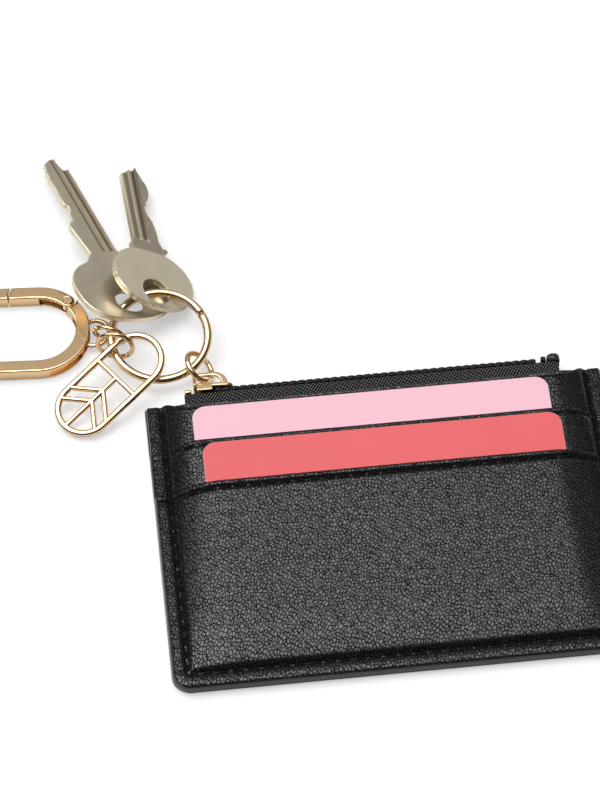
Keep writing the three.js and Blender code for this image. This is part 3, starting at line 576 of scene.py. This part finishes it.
hem_seam = bmesh.new()
back_seam = bmesh.new()
seam_x = CASE_SIDE - SEAM_INSET
seam_y = CASE_FOOT + SEAM_INSET
for count in range(SIDE_STITCHES):
    y = (count - (SIDE_STITCHES - 1) / 2) * STITCH_PITCH + 0.5 * STITCH_PITCH
    if seam_y + 1.0 < y < CASE_HEAD - 2.0:
        for x in (-seam_x, seam_x):
            sew(hem_seam, (x, y, layer_top(x, y) + STITCH_RISE), (0, 1))
            sew(back_seam, (x, y, BACK_LEVEL), (0, 1))
for count in range(FOOT_STITCHES):
    x = (count - (FOOT_STITCHES - 1) / 2) * STITCH_PITCH
    sew(hem_seam, (x, seam_y, layer_top(x, seam_y) + STITCH_RISE), (1, 0))
    sew(back_seam, (x, seam_y, BACK_LEVEL), (1, 0))
for count in range(MOUTH_STITCHES):
    x = (count - (MOUTH_STITCHES - 1) / 2) * STITCH_PITCH
    y = FRONT_MOUTH - FRONT_FOLD
    sew(hem_seam, (x, y, front_top(x, y) + FOLD_RISE), (1, 0))
    y = UPPER_MOUTH - UPPER_FOLD
    sew(hem_seam, (x, y, upper_top(x, y) + STITCH_RISE), (1, 0))
add_piece("hem_stitching", hem_seam, thread_black, "case", "leather")
add_piece("back_stitching", back_seam, thread_black, "case", "leather")


# Cards: two moulded plastic cards with round corners, matt printed in one plain colour each.
# They stand loose in the pockets and slide out along the pocket's slope.
PINK = (0.916, 0.532, 0.617)
CORAL = (0.803, 0.104, 0.110)
CARD_ROUND = 0.12
MERGE_REACH = 0.05
SAME_LEVEL = 0.02
FLAT_ANGLE = math.radians(0.8)
CORNER_ANGLE = math.radians(25)
SHARP_ANGLE = math.radians(60)


def card_plastic(name, colour):
    """A matt print on the front face, over a paler core."""
    finish, tree, place = new_finish(name)
    cloud = place.noise(18.0, 1.0)
    speck = place.noise(0.5, 1.0)
    darker = tuple(part * 0.93 for part in colour)
    core = tuple(part + (1.0 - part) * 0.6 for part in colour)
    on_face = tree.node("TexCoord", out="Normal").along((0.0, 0.0, 1.0)).ramp(0.80, 0.95)
    set_surface(finish, {
        "Base Color": on_face.mix(core, cloud.mix(darker, colour)),
        "Roughness": 0.42 + speck * 0.1,
        "Normal": speck.bump(0.008),
    })
    return finish


def lies_at(edge, level):
    return all(abs(vert.co.z - level) < SAME_LEVEL for vert in edge.verts)


def worked_copy(node, offset, segments, levels):
    """A node's mesh in millimetres with its corners rounded: all of them, or those at the levels."""
    bm = bmesh.new()
    bm.from_mesh(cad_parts[node].data)
    bmesh.ops.scale(bm, vec=(1 / MM, 1 / MM, 1 / MM), verts=bm.verts)
    bmesh.ops.remove_doubles(bm, verts=bm.verts, dist=MERGE_REACH)
    bmesh.ops.dissolve_limit(bm, angle_limit=FLAT_ANGLE, verts=bm.verts, edges=bm.edges)
    edges = [edge for edge in bm.edges if edge.calc_face_angle(0.0) > CORNER_ANGLE]
    if levels:
        edges = [edge for edge in edges if any(lies_at(edge, level) for level in levels)]
    bmesh.ops.bevel(bm, geom=edges, offset=offset, offset_type="OFFSET", segments=segments, profile=0.5,
                    affect="EDGES", material=-1, clamp_overlap=False)
    return bm


def add_worked(name, node, finish, body, slot, offset, segments, levels=None):
    piece = add_piece(name, worked_copy(node, offset, segments, levels), finish, body, slot, node)
    piece.data.set_sharp_from_angle(angle=SHARP_ANGLE)
    weigh = piece.modifiers.new("even_faces", "WEIGHTED_NORMAL")
    weigh.keep_sharp = True
    return piece


pink_plastic = card_plastic("pink_card_plastic", PINK)
coral_plastic = card_plastic("coral_card_plastic", CORAL)
add_worked("pink_card", "card_upper", pink_plastic, "upper_card", "card_pink", CARD_ROUND, 2)
add_worked("coral_card", "card_lower", coral_plastic, "lower_card", "card_coral", CARD_ROUND, 2)


# Lip: a strip of nearly smooth leather with a painted sheen, folded to bind the zip panel's top edge.
# It runs the whole length of the zip and dips to the case's corners at both ends.
LIP_END = 48.86
LIP_SINK = 0.03
LIP_ROUND = 1.3
# The lip's light colour is a painted sheen on black leather, with painted shade in its creases.
LIP_SHEEN_TOP = (0.060, 0.060, 0.060)
LIP_SHEEN_CREASE_SHADE = (0.012, 0.012, 0.012)
lip_leather_painted_sheen = pebbled_leather("lip_leather_painted_sheen", LIP_SHEEN_TOP, LIP_SHEEN_CREASE_SHADE, PEBBLE, 0.10, 0.34)


def lip_upper(x, y):
    share = (y - PANEL_EDGE) / LIP_WIDTH - 0.5
    return zip_floor(x, LIP_Y) + ZIP_THICK - LIP_SINK - LIP_ROUND * share * share


lip_columns = spread(-LIP_END, (-FLAT_X, 0.4), (FLAT_X, 1.2), (LIP_END, 0.4))
lip_rows = spread(PANEL_EDGE, (LIP_Y, 0.13))
lip = sewn_sheet(lip_columns, lip_rows, lambda x, y: zip_floor(x, LIP_Y), lip_upper)
for vert in lip.verts:
    share = (vert.co.y - PANEL_EDGE) / LIP_WIDTH
    low = drawn_back(vert.co.x, PANEL_EDGE) + LAYER_GAP
    high = drawn_back(vert.co.x, LIP_Y)
    vert.co.y = low + (high - low) * share
add_piece("zip_lip", lip, lip_leather_painted_sheen, "case", "leather", "front_lip")


# Zip tapes: black woven twill, one sewn behind the lip and one to the back panel.
# The weave's diagonal ribs show between the lip and the teeth, their crests given a painted highlight.
TAPE_LEFT = -45.7
TAPE_RIGHT = 44.8
TAPE_LOW_Y = 33.2
TAPE_HIGH_Y = 39.6
TAPE_THICK = 0.5
RIB_PITCH = 0.62
RIB_WAY = (0.82, -0.57)
STRAND_PITCH = 0.85
STRAND_WAY = (0.57, 0.82)
TWILL_DARK = (0.002, 0.002, 0.002)
# The grey of the rib crests is a painted highlight on the black tape.
TWILL_RIB_HIGHLIGHT = (0.230, 0.222, 0.215)
zip_twill, _, twill_place = new_finish("zip_twill")


def weave(way, pitch):
    """Rises and falls between 0 and 1, once a pitch, along a way in the tape."""
    turns = 2 * math.pi / (pitch * MM)
    wave = twill_place.along((way[0] * turns, way[1] * turns, 0.0))
    return (wave.math("SINE") + 1.0) * 0.5


rib = weave(RIB_WAY, RIB_PITCH).ramp(0.45, 0.95)
strand = weave(STRAND_WAY, STRAND_PITCH).ramp(0.0, 0.5)
fuzz = twill_place.noise(0.3, 3.0, 0.7)
# Painted highlight: the crests of the ribs and strands are coloured grey, and the rest stays black.
set_surface(zip_twill, {
    "Base Color": (rib * strand * (0.5 + fuzz * 0.8)).mix(TWILL_DARK, TWILL_RIB_HIGHLIGHT),
    "Roughness": 0.75 + fuzz * 0.15,
    "Specular IOR Level": 0.15,
    "Normal": (rib + strand * 0.5 + fuzz * 0.25).bump(0.16),
})


def tape_floor(x, y):
    return zip_floor(x, y) - LAYER_GAP - TAPE_THICK - 2 * (1 - across(x))


def tape_upper(x, y):
    edge = rounded(0.18, 0.6, TAPE_HIGH_Y - y)
    wave = 0.05 * math.sin(x / 5.0) * ease((y - LIP_Y) / 2.0)
    return tape_floor(x, y) + TAPE_THICK - edge + wave


tape_columns = spread(TAPE_LEFT, (-FLAT_X, 0.3), (FLAT_X, 1.0), (TAPE_RIGHT, 0.3))
tape_rows = spread(TAPE_LOW_Y, (LIP_Y, 0.8), (TAPE_HIGH_Y, 0.25))
front_tape = sewn_sheet(tape_columns, tape_rows, tape_floor, tape_upper)
add_piece("front_tape", front_tape, zip_twill, "case", "tape", "zip_tape_front")
back_tape_low = BACK_THICK + LAYER_GAP
back_tape = sewn_sheet(tape_columns, tape_rows, lambda x, y: back_tape_low,
                       lambda x, y: back_tape_low + TAPE_THICK - 0.06 * (1 + math.sin(x / 4.0)))
add_piece("back_tape", back_tape, zip_twill, "case", "tape", "zip_tape_back")


# Zip teeth: moulded black nylon in two rows that mesh across the slit, with a block across the closed end.
# A tab of the lip's leather, with the same painted sheen, is folded over that end and sewn down.
TOOTH_ROUND = 0.14
NYLON_DARK = (0.003, 0.003, 0.003)
NYLON_LIGHT = (0.014, 0.013, 0.012)
nylon, _, nylon_place = new_finish("black_nylon")
nylon_tone = nylon_place.noise(0.7, 2.0)
set_surface(nylon, {
    "Base Color": nylon_tone.mix(NYLON_DARK, NYLON_LIGHT),
    "Roughness": 0.34 + nylon_tone * 0.2,
    "Specular IOR Level": 0.20,
    "Normal": nylon_tone.bump(0.03),
})
add_worked("front_teeth", "zip_teeth_front", nylon, "case", "tape", TOOTH_ROUND, 2)
add_worked("back_teeth", "zip_teeth_back", nylon, "case", "tape", TOOTH_ROUND, 2)
add_worked("end_block", "bottom_stop", nylon, "case", "tape", 0.3, 3)
add_worked("end_tab", "zip_end_tab", lip_leather_painted_sheen, "case", "leather", 0.45, 4)


# Polished rose gold hardware: cast zinc, plated and buffed, with the faint haze that plating keeps.
# First the zip's own metal: two clamps on the tape ends, the slider, and the bail that carries the keys.
# The slider is a plate with two rims, an inner plate and a post, each given by two corners and a rounding.
ROSE_GOLD = (0.925, 0.675, 0.405)
ROSE_SHADE = (0.855, 0.600, 0.345)
SATIN_GOLD = (0.890, 0.630, 0.360)
SATIN_SHADE = (0.820, 0.570, 0.315)
CLAMP_ROUND = 0.25
SLIDER_AT = (-38.5, 41.45, 3.525)
SLIDER_SIZE = (9.8, 1.1, 6.05)
SLIDER_CORNER = 1.7
SLIDER_TAPER = 0.24
SLIDER_ROUND = 0.38
UPPER_RIM = ((-42.6, 39.8, 6.1), (-38.8, 41.4, 6.55), 0.18)
LOWER_RIM = ((-42.6, 39.8, 0.5), (-38.8, 41.4, 0.95), 0.18)
INNER_PLATE = ((-42.8, 37.9, 2.6), (-34.2, 38.8, 4.45), 0.2)
POST = ((-43.0, 38.4, 3.1), (-41.4, 41.2, 3.95), 0.2)


def plated_metal(name, bright, shade, rough):
    """Plating with clouds of tone and a fine haze."""
    finish, _, place = new_finish(name)
    cloud = place.noise(7.0, 2.0)
    haze = place.noise(0.9, 3.0, 0.6)
    set_surface(finish, {
        "Base Color": cloud.mix(shade, bright),
        "Metallic": 1.0,
        "Roughness": rough + haze * 0.06,
        "Normal": (haze * 0.6 + place.noise(3.5, 1.0) * 1.5).bump(0.005),
    })
    return finish


rose_gold = plated_metal("rose_gold", ROSE_GOLD, ROSE_SHADE, 0.08)
satin_gold = plated_metal("satin_gold", SATIN_GOLD, SATIN_SHADE, 0.07)
add_worked("front_clamp", "top_stop_front", rose_gold, "case", "gold", CLAMP_ROUND, 3)
add_worked("back_clamp", "top_stop_back", rose_gold, "case", "gold", CLAMP_ROUND, 3)


def soft_block(bm, low, high, offset):
    """A block between two corners with rounded edges."""
    size = [high[i] - low[i] for i in range(3)]
    middle = [(high[i] + low[i]) / 2 for i in range(3)]
    place = Matrix.Translation(middle) @ Matrix.Diagonal((*size, 1.0))
    made = bmesh.ops.create_cube(bm, size=1.0, matrix=place)["verts"]
    edges = list(dict.fromkeys(edge for vert in made for edge in vert.link_edges))
    bmesh.ops.bevel(bm, geom=edges, offset=offset, segments=3, profile=0.5, affect="EDGES", material=-1)


slider = bmesh.new()
plate_place = Matrix.Translation(SLIDER_AT) @ Matrix.Diagonal((*SLIDER_SIZE, 1.0))
bmesh.ops.create_cube(slider, size=1.0, matrix=plate_place)
corners = [edge for edge in slider.edges if abs(edge.verts[0].co.y - edge.verts[1].co.y) > 1.0]
bmesh.ops.bevel(slider, geom=corners, offset=SLIDER_CORNER, segments=6, profile=0.5, affect="EDGES",
                material=-1)
for vert in slider.verts:
    tail = max(0.0, vert.co.x - SLIDER_AT[0]) / (SLIDER_SIZE[0] / 2)
    vert.co.z = SLIDER_AT[2] + (vert.co.z - SLIDER_AT[2]) * (1 - SLIDER_TAPER * tail)
plate_rims = [edge for edge in slider.edges if edge.calc_face_angle(0.0) > 1.0]
bmesh.ops.bevel(slider, geom=plate_rims, offset=SLIDER_ROUND, segments=4, profile=0.5, affect="EDGES",
                material=-1)
for low, high, offset in (UPPER_RIM, LOWER_RIM, INNER_PLATE, POST):
    soft_block(slider, low, high, offset)
add_piece("slider", slider, rose_gold, "slider", "gold", "slider_body").modifiers.new(
    "even_faces", "WEIGHTED_NORMAL")
add_worked("slider_bail", "slider_bridge", rose_gold, "slider", "gold", 0.3, 4)


# Rings: round wire bent to a circle and butted at a seam, plated after bending.
# The link ring hangs on the bail and the key ring on the link.
# Three small rings hold the charm and the clip.
WIRE_SIDES = 20
SEAM_GAP = 0.16
LINK_WIRE = 1.35
KEY_WIRE = 2.05
SMALL_WIRE = 1.2
KEY_RING_AT = (-50.129, 57.326, 5.549)
KEY_RING_RADIUS = 11.75


def bent_ring(name, node, body, centre, normal, seam, radius, wire):
    """A wire circle spun about the ring's axis from one side of its seam to the other."""
    axis = Vector(normal).normalized()
    out = Vector(seam)
    out = (out - axis * out.dot(axis)).normalized()
    gap = SEAM_GAP / radius
    steps = 84 if radius == KEY_RING_RADIUS else 40
    bm = bmesh.new()
    facing = Matrix((out, axis, out.cross(axis))).transposed().to_4x4()
    start = Matrix.Rotation(gap / 2, 4, axis)
    place = Matrix.Translation(centre) @ start @ Matrix.Translation(out * radius) @ facing
    bmesh.ops.create_circle(bm, cap_ends=True, segments=WIRE_SIDES, radius=wire / 2, matrix=place)
    bmesh.ops.spin(bm, geom=bm.faces[:] + bm.edges[:] + bm.verts[:], cent=centre, axis=axis, dvec=(0, 0, 0),
                   angle=2 * math.pi - gap, steps=steps, use_duplicate=False)
    bmesh.ops.remove_doubles(bm, verts=bm.verts, dist=0.001)
    bmesh.ops.recalc_face_normals(bm, faces=bm.faces)
    return add_piece(name, bm, rose_gold, body, "gold", node)


bent_ring("link_wire", "link_ring", "link", (-41.199, 48.302, 3.723), (0.6967, 0.0721, 0.7137),
          (0.407, 0.779, -0.476), 4.0, LINK_WIRE)
bent_ring("key_ring_wire", "key_ring", "ring", KEY_RING_AT, (0.0, -0.1564, 0.9877),
          (0.911, 0.408, 0.065), KEY_RING_RADIUS, KEY_WIRE)
bent_ring("charm_ring_wire", "charm_ring", "charm_link", (-61.029, 54.869, 6.618),
          (-0.2299, -0.9711, 0.0644), (0.725, -0.215, -0.654), 4.3, SMALL_WIRE)
bent_ring("connector_wire", "connector_ring", "connector", (-62.132, 59.780, 4.350),
          (0.3704, 0.9150, 0.1598), (-0.757, 0.198, 0.623), 3.75, SMALL_WIRE)
bent_ring("eye_wire", "eye_ring", "eye", (-65.685, 62.289, 2.085), (-0.1264, -0.0287, 0.9916),
          (-0.129, 0.992, 0.012), 3.6, SMALL_WIRE)


# Charm: a flat cast tag, an open frame with a loop at one end and plain leaf veins in the other.
# Its bars are tumbled round, and the whole is polished and plated.
CHARM_WIDTH = 14.5
CHARM_SPAN = 16.9
CHARM_BAR = 1.6
VEIN_BAR = 1.25
VEIN_SINK = 0.2
VEIN_TURN = math.radians(128)
LOW_VEIN = 2.5
HIGH_VEIN = 6.2
LOW_VEIN_REACH = 1.12
BAR_SQUARENESS = 2.8
BEND_STEPS = 28
CHARM_HIGH = Vector((-56.629, 49.826, 6.899))
charm_along = Vector((0.77, 0.582, 0.225)).normalized()
charm_face = Vector((0.0, -0.14, 0.99))
charm_face = (charm_face - charm_along * charm_face.dot(charm_along)).normalized()
charm_axes = Matrix((charm_along, charm_face.cross(charm_along), charm_face)).transposed().to_4x4()
charm_place = Matrix.Translation(CHARM_HIGH - charm_along * CHARM_SPAN) @ charm_axes


def bar_section(bm, place, wide, tall):
    """A rounded square of wire, the start of a bar: wide across the face and tall through it."""
    made = bmesh.ops.create_circle(bm, segments=16, radius=1.0)["verts"]
    for vert in made:
        turn = math.atan2(vert.co.y, vert.co.x)
        squared = abs(math.cos(turn)) ** BAR_SQUARENESS + abs(math.sin(turn)) ** BAR_SQUARENESS
        round_out = squared ** (-1 / BAR_SQUARENESS)
        vert.co = (round_out * math.cos(turn) * wide / 2, round_out * math.sin(turn) * tall / 2, 0.0)
    bmesh.ops.transform(bm, matrix=place, verts=made)
    return list(dict.fromkeys(edge for vert in made for edge in vert.link_edges))


def pull_bar(bm, edges, way):
    """Draws a bar's end on by a straight length, and gives its new end."""
    made = bmesh.ops.extrude_edge_only(bm, edges=edges)["geom"]
    verts = [item for item in made if isinstance(item, bmesh.types.BMVert)]
    bmesh.ops.translate(bm, vec=way, verts=verts)
    ends = set(verts)
    drawn = [item for item in made if isinstance(item, bmesh.types.BMEdge)]
    return [edge for edge in drawn if ends.issuperset(edge.verts)]


def bend_bar(bm, edges, centre):
    """Draws a bar's end half round a centre, and gives its new end."""
    spun = bmesh.ops.spin(bm, geom=edges, cent=centre, axis=(0, 0, 1), angle=math.pi, steps=BEND_STEPS)
    return [item for item in spun["geom_last"] if isinstance(item, bmesh.types.BMEdge)]


tag = bmesh.new()
bar_mean = (CHARM_WIDTH - CHARM_BAR) / 2
across_x = Matrix.Rotation(math.pi / 2, 4, "Z") @ Matrix.Rotation(math.pi / 2, 4, "X")
bar_start = Matrix.Translation((CHARM_SPAN, -bar_mean, 0.0)) @ across_x
bar_end = bar_section(tag, bar_start, CHARM_BAR, CHARM_BAR)
bar_end = bend_bar(tag, bar_end, (CHARM_SPAN, 0, 0))
bar_end = pull_bar(tag, bar_end, (-CHARM_SPAN, 0, 0))
bar_end = bend_bar(tag, bar_end, (0, 0, 0))
pull_bar(tag, bar_end, (CHARM_SPAN, 0, 0))
bmesh.ops.remove_doubles(tag, verts=tag.verts, dist=0.01)


def add_vein(x, y, turn, length):
    """A straight bar across the frame, a little thinner than it."""
    way = Matrix.Translation((x, y, 0.0)) @ Matrix.Rotation(turn, 4, "Z")
    start = bar_section(tag, way @ across_x, VEIN_BAR, CHARM_BAR - VEIN_SINK)
    pull_bar(tag, start, way.to_3x3() @ Vector((length, 0.0, 0.0)))


loop_radius = CHARM_WIDTH / 2 - CHARM_BAR
cross_at = CHARM_SPAN - loop_radius
add_vein(cross_at - VEIN_BAR / 2, -bar_mean, math.pi / 2, 2 * bar_mean)
add_vein(-bar_mean, 0.0, 0.0, bar_mean + cross_at - VEIN_BAR / 2)
for side in (-1, 1):
    add_vein(LOW_VEIN, 0.0, side * VEIN_TURN, bar_mean * LOW_VEIN_REACH)
for side in (-1, 1):
    add_vein(HIGH_VEIN, 0.0, side * VEIN_TURN, bar_mean / math.sin(VEIN_TURN))
bmesh.ops.transform(tag, matrix=charm_place, verts=tag.verts)
bmesh.ops.recalc_face_normals(tag, faces=tag.faces)
add_piece("charm_tag", tag, rose_gold, "pendant", "gold", "charm")


# Clip: an oval bar with rounded edges and a sprung gate, cast and plated, a shade darker than the rings.
# The gate turns on a rivet against a leaf spring, and a pin across the end holds the eye ring.
# The rivet's shank and head are each given by a bottom, a top and a width.
CLIP_FACES = (0.0, 3.6)
CLIP_ROUND = 0.4
RIVET_AT = (-71.53, 71.74)
RIVET_SHANK = (0.1, 3.64, 1.5)
RIVET_HEAD = (3.62, 3.75, 2.1)
STEEL = (0.55, 0.53, 0.50)
STEEL_SHADE = (0.42, 0.40, 0.38)
add_worked("clip_bar", "clip_frame", satin_gold, "clip", "gold", CLIP_ROUND, 3, CLIP_FACES)
add_worked("clip_gate_bar", "clip_gate", satin_gold, "gate", "gold", CLIP_ROUND, 3, CLIP_FACES)
add_worked("clip_pin_rod", "clip_pin", rose_gold, "clip", "gold", 0.1, 2)
rivet = bmesh.new()
for low, high, wide in (RIVET_SHANK, RIVET_HEAD):
    middle = Matrix.Translation((*RIVET_AT, (low + high) / 2))
    bmesh.ops.create_cone(rivet, cap_ends=True, segments=32, radius1=wide / 2, radius2=wide / 2,
                          depth=high - low, matrix=middle)
rivet_rims = [edge for edge in rivet.edges if edge.calc_face_angle(0.0) > 1.0]
bmesh.ops.bevel(rivet, geom=rivet_rims, offset=0.05, segments=2, profile=0.5, affect="EDGES", material=-1)
add_piece("gate_rivet_head", rivet, rose_gold, "clip", "gold", "gate_rivet").modifiers.new(
    "even_faces", "WEIGHTED_NORMAL")
spring_steel = plated_metal("spring_steel", STEEL, STEEL_SHADE, 0.25)
add_worked("gate_leaf_spring", "gate_spring", spring_steel, "gate", "nickel", 0.06, 2)


# Keys: stamped from nickel silver sheet, with milled grooves and cut bits, worn by use.
# The front one's bow is hatched with fine lines, and the rear one's is brushed plain.
# Grime and painted shade darken the grooves, and painted shade darkens the side that faces the table.
NICKEL = (0.980, 0.875, 0.685)
NICKEL_WORN = (0.840, 0.745, 0.560)
RING_TILT = math.radians(9)
TIP_HEIGHT = 3.6
BOW_REACH = 13.5
MILL_START = 17.0
# The groove colour is grime together with painted shade in the milled grooves.
GROOVE_GRIME_AND_SHADE = (0.62, 0.49, 0.33)
FRONT_GROOVES = ((-2.2, 1.5, 0.4), (0.05, 1.3, 0.85))
REAR_GROOVES = ((3.3, 1.2, 0.9), (1.1, 0.8, 0.9))
FRONT_HATCH = (5.0, 7.0, 4.0, 1.2)
NO_HATCH = (0.0, 0.0, 0.0, 0.0)
FRONT_BOW = 0.84
REAR_BOW = 1.0
# Painted shade for the key faces that turn down towards the table.
FRONT_UNDERSIDE_SHADE = (0.22, 0.20, 0.16)
REAR_UNDERSIDE_SHADE = (0.66, 0.66, 0.66)
KEY_ROUND = 0.22
FRONT_HANG = (0, -2.8, 42.0, 33)
REAR_HANG = (34, -17.4, 51.8, 25)


def ring_spot(degrees):
    """A place on the key ring's wire."""
    turn = math.radians(degrees)
    far = Vector((0.0, math.cos(RING_TILT), math.sin(RING_TILT)))
    way = math.cos(turn) * far + Vector((-math.sin(turn), 0.0, 0.0))
    return Vector(KEY_RING_AT) + KEY_RING_RADIUS * way


def key_axes(at, sideways, reach, roll):
    """Where a key hangs on the ring, the way along its blade and the way across it."""
    spot = ring_spot(at)
    drop = TIP_HEIGHT - spot.z
    along = Vector((sideways, math.sqrt(reach ** 2 - sideways ** 2 - drop ** 2), drop)) / reach
    level = (Vector((0, 0, 1)) - along * along.z).normalized()
    face = level * math.cos(math.radians(roll)) + along.cross(level) * math.sin(math.radians(roll))
    return spot, along, along.cross(face)


def key_metal(name, axes, hatch, bow, grooves, underside_shade):
    """Worn metal with a toned, hatched bow, grime and painted shade in grooves, painted shade facing down.
    """
    spot, along, cross = axes
    hatch_along, hatch_across, hatch_depth, hatch_dark = hatch
    finish, tree, place = new_finish(name)
    down = (place.along(tuple(along)) - spot.dot(along) * MM) / MM
    over = (place.along(tuple(cross)) - spot.dot(cross) * MM) / MM
    wear = place.noise(5.0, 4.0, 0.65)
    brushed = tree.node("CombineXYZ", None, {0: down * 0.25, 1: over * 9.0})
    streak = tree.node("TexNoise", None, {"Vector": brushed, "Scale": 1.0, "Detail": 3.0})
    lines = ((down * hatch_along + over * hatch_across).math("SINE") + 1.0) * 0.5
    on_bow = 1.0 - down.ramp(BOW_REACH - 0.6, BOW_REACH)
    polish = (wear * 0.7 + streak * 0.3).ramp(0.25, 0.75) - lines * on_bow * hatch_dark
    # The grooves are darkened by grime and painted shade.
    milled = down.ramp(MILL_START, MILL_START + 1.0) * sum(
        grime_and_shade * (1.0 - (over - middle).math("ABSOLUTE").ramp(width / 2 + 0.1, width / 2 + 0.3))
        for middle, width, grime_and_shade in grooves)
    # Painted shade: faces turned down towards the table are coloured darker.
    upper = tree.node("TexCoord", out="Normal").along((0.0, 0.0, 1.0)).ramp(-0.75, -0.45)
    bow_tone_and_groove_shade = (1.0 - on_bow * (1.0 - bow)) * (1.0 - milled * 0.5)
    metal = milled.mix(polish.mix(NICKEL_WORN, NICKEL), GROOVE_GRIME_AND_SHADE)
    set_surface(finish, {
        "Base Color": upper.mix(underside_shade, bow_tone_and_groove_shade.mix((0.0, 0.0, 0.0), metal)),
        "Metallic": 1.0,
        "Roughness": 0.24 + streak * 0.14 + wear * 0.06,
        "Normal": (lines * on_bow * hatch_depth + streak * 0.4 + wear * 0.3).bump(0.03),
    })
    return finish


front_axes = key_axes(*FRONT_HANG)
rear_axes = key_axes(*REAR_HANG)
front_metal = key_metal("hatched_nickel", front_axes, FRONT_HATCH, FRONT_BOW, FRONT_GROOVES, FRONT_UNDERSIDE_SHADE)
rear_metal = key_metal("brushed_nickel", rear_axes, NO_HATCH, REAR_BOW, REAR_GROOVES, REAR_UNDERSIDE_SHADE)
add_worked("front_key", "key_front", front_metal, "front_key", "nickel", KEY_ROUND, 3)
add_worked("rear_key", "key_rear", rear_metal, "rear_key", "nickel", KEY_ROUND, 3)


# Table: a flat sheet of plain white paper under the object, which keeps its soft shadow.
# It glows a little to the camera alone, so that it reads as the picture's bright ground.
FLOOR_SIZE = 3.0
FLOOR_DROP = 0.05
PAPER = (0.82, 0.82, 0.82)
PAPER_SHADE = (0.80, 0.80, 0.80)
GLOW = 1.35
GLOW_SHARE = 0.36
floor_mesh = bmesh.new()
bmesh.ops.create_grid(floor_mesh, x_segments=2, y_segments=2, size=FLOOR_SIZE,
                      matrix=Matrix.Translation((0.0, 0.0, -FLOOR_DROP * MM)))
floor_data = bpy.data.meshes.new("table")
floor_mesh.to_mesh(floor_data)
floor_mesh.free()
table = bpy.data.objects.new("table", floor_data)
bpy.context.scene.collection.objects.link(table)
table_white, table_tree, table_place = new_finish("table_white")
sheet_tone = table_place.noise(60.0, 1.0)
set_surface(table_white, {"Base Color": sheet_tone.mix(PAPER_SHADE, PAPER), "Roughness": 0.8})
glow = table_tree.node("Emission", None, {"Color": (1.0, 1.0, 1.0), "Strength": GLOW})
rays = table_tree.node("LightPath", out="Is Camera Ray")
paper = Value(table_tree.tree, table_white.node_tree.nodes["Principled BSDF"].outputs[0])
lit = table_tree.node("MixShader", None, {0: rays * GLOW_SHARE, 1: paper, 2: glow})
table_tree.plug(table_white.node_tree.nodes["Material Output"].inputs["Surface"], lit)
floor_data.materials.append(table_white)


# Light: a dim room with one broad soft box above and to the left, and a weak lamp.
# The room is darker near the horizon, which gives the polished wire its bands.
BOX_LEFT = (-0.95, -0.32)
BOX_RIGHT = (-0.06, 0.38)
BOX_NEAR = (-0.3, -0.05)
BOX_FAR = (0.42, 0.53)
BOX_LOW = (0.2, 0.5)
BOX_LIGHT = 4.4
WALL_WAY = (0.0, 0.55, 0.835)
WALL_FADE = (0.45, 0.93)
WALL_LIGHT = 0.46
ROOM_LIGHT = 0.05
LAMP_AT = Vector((-0.25, 0.05, 1.20))
LAMP_SIZE = 1.6
LAMP_POWER = 2.0
world = bpy.data.worlds.new("studio")
bpy.context.scene.world = world
world.use_nodes = True
room_tree = Value(world.node_tree)
room_way = room_tree.node("TexCoord", out="Generated")
sideways = room_way.along((1.0, 0.0, 0.0))
backward = room_way.along((0.0, 1.0, 0.0))
upward = room_way.along((0.0, 0.0, 1.0)).ramp(*BOX_LOW)
box_width = sideways.ramp(*BOX_LEFT) * (1.0 - sideways.ramp(*BOX_RIGHT))
box_depth = backward.ramp(*BOX_NEAR) * (1.0 - backward.ramp(*BOX_FAR))
overhead = box_width * box_depth * upward
wall = room_way.along(WALL_WAY).ramp(*WALL_FADE)
room_tone = ROOM_LIGHT + wall * WALL_LIGHT + overhead * BOX_LIGHT
seen = room_tree.node("LightPath", out="Is Camera Ray")
backdrop = world.node_tree.nodes["Background"]
room_tree.plug(backdrop.inputs["Color"], seen.mix(room_tone, (1.0, 1.0, 1.0)))
lamp = bpy.data.lights.new("top_lamp", "AREA")
lamp.shape = "DISK"
lamp.size = LAMP_SIZE
lamp.energy = LAMP_POWER
holder = bpy.data.objects.new("top_lamp", lamp)
bpy.context.scene.collection.objects.link(holder)
holder.location = LAMP_AT
holder.rotation_euler = (-LAMP_AT).to_track_quat("-Z", "Y").to_euler()


# Camera: looks down at the front of the case from a little to its left, as the picture does.
VIEW_TURN = math.radians(-6.2)
VIEW_HEIGHT = math.radians(56.0)
VIEW_DISTANCE = 0.7945
VIEW_SIDE = -0.02195
VIEW_UP = 0.03033
VIEW_LENS = 151.9
back_way = Vector((math.sin(VIEW_TURN) * math.cos(VIEW_HEIGHT),
                   -math.cos(VIEW_TURN) * math.cos(VIEW_HEIGHT),
                   math.sin(VIEW_HEIGHT)))
right_way = Vector((math.cos(VIEW_TURN), math.sin(VIEW_TURN), 0.0))
up_way = back_way.cross(right_way)
lens = bpy.data.cameras.new("camera")
lens.lens = VIEW_LENS
lens.sensor_width = 36.0
lens.clip_start = 0.01
camera = bpy.data.objects.new("camera", lens)
bpy.context.scene.collection.objects.link(camera)
camera.matrix_world = Matrix((right_way, up_way, back_way)).transposed().to_4x4()
camera.location = back_way * VIEW_DISTANCE + right_way * VIEW_SIDE + up_way * VIEW_UP
bpy.context.scene.camera = camera
bpy.context.scene.view_settings.view_transform = "Standard"
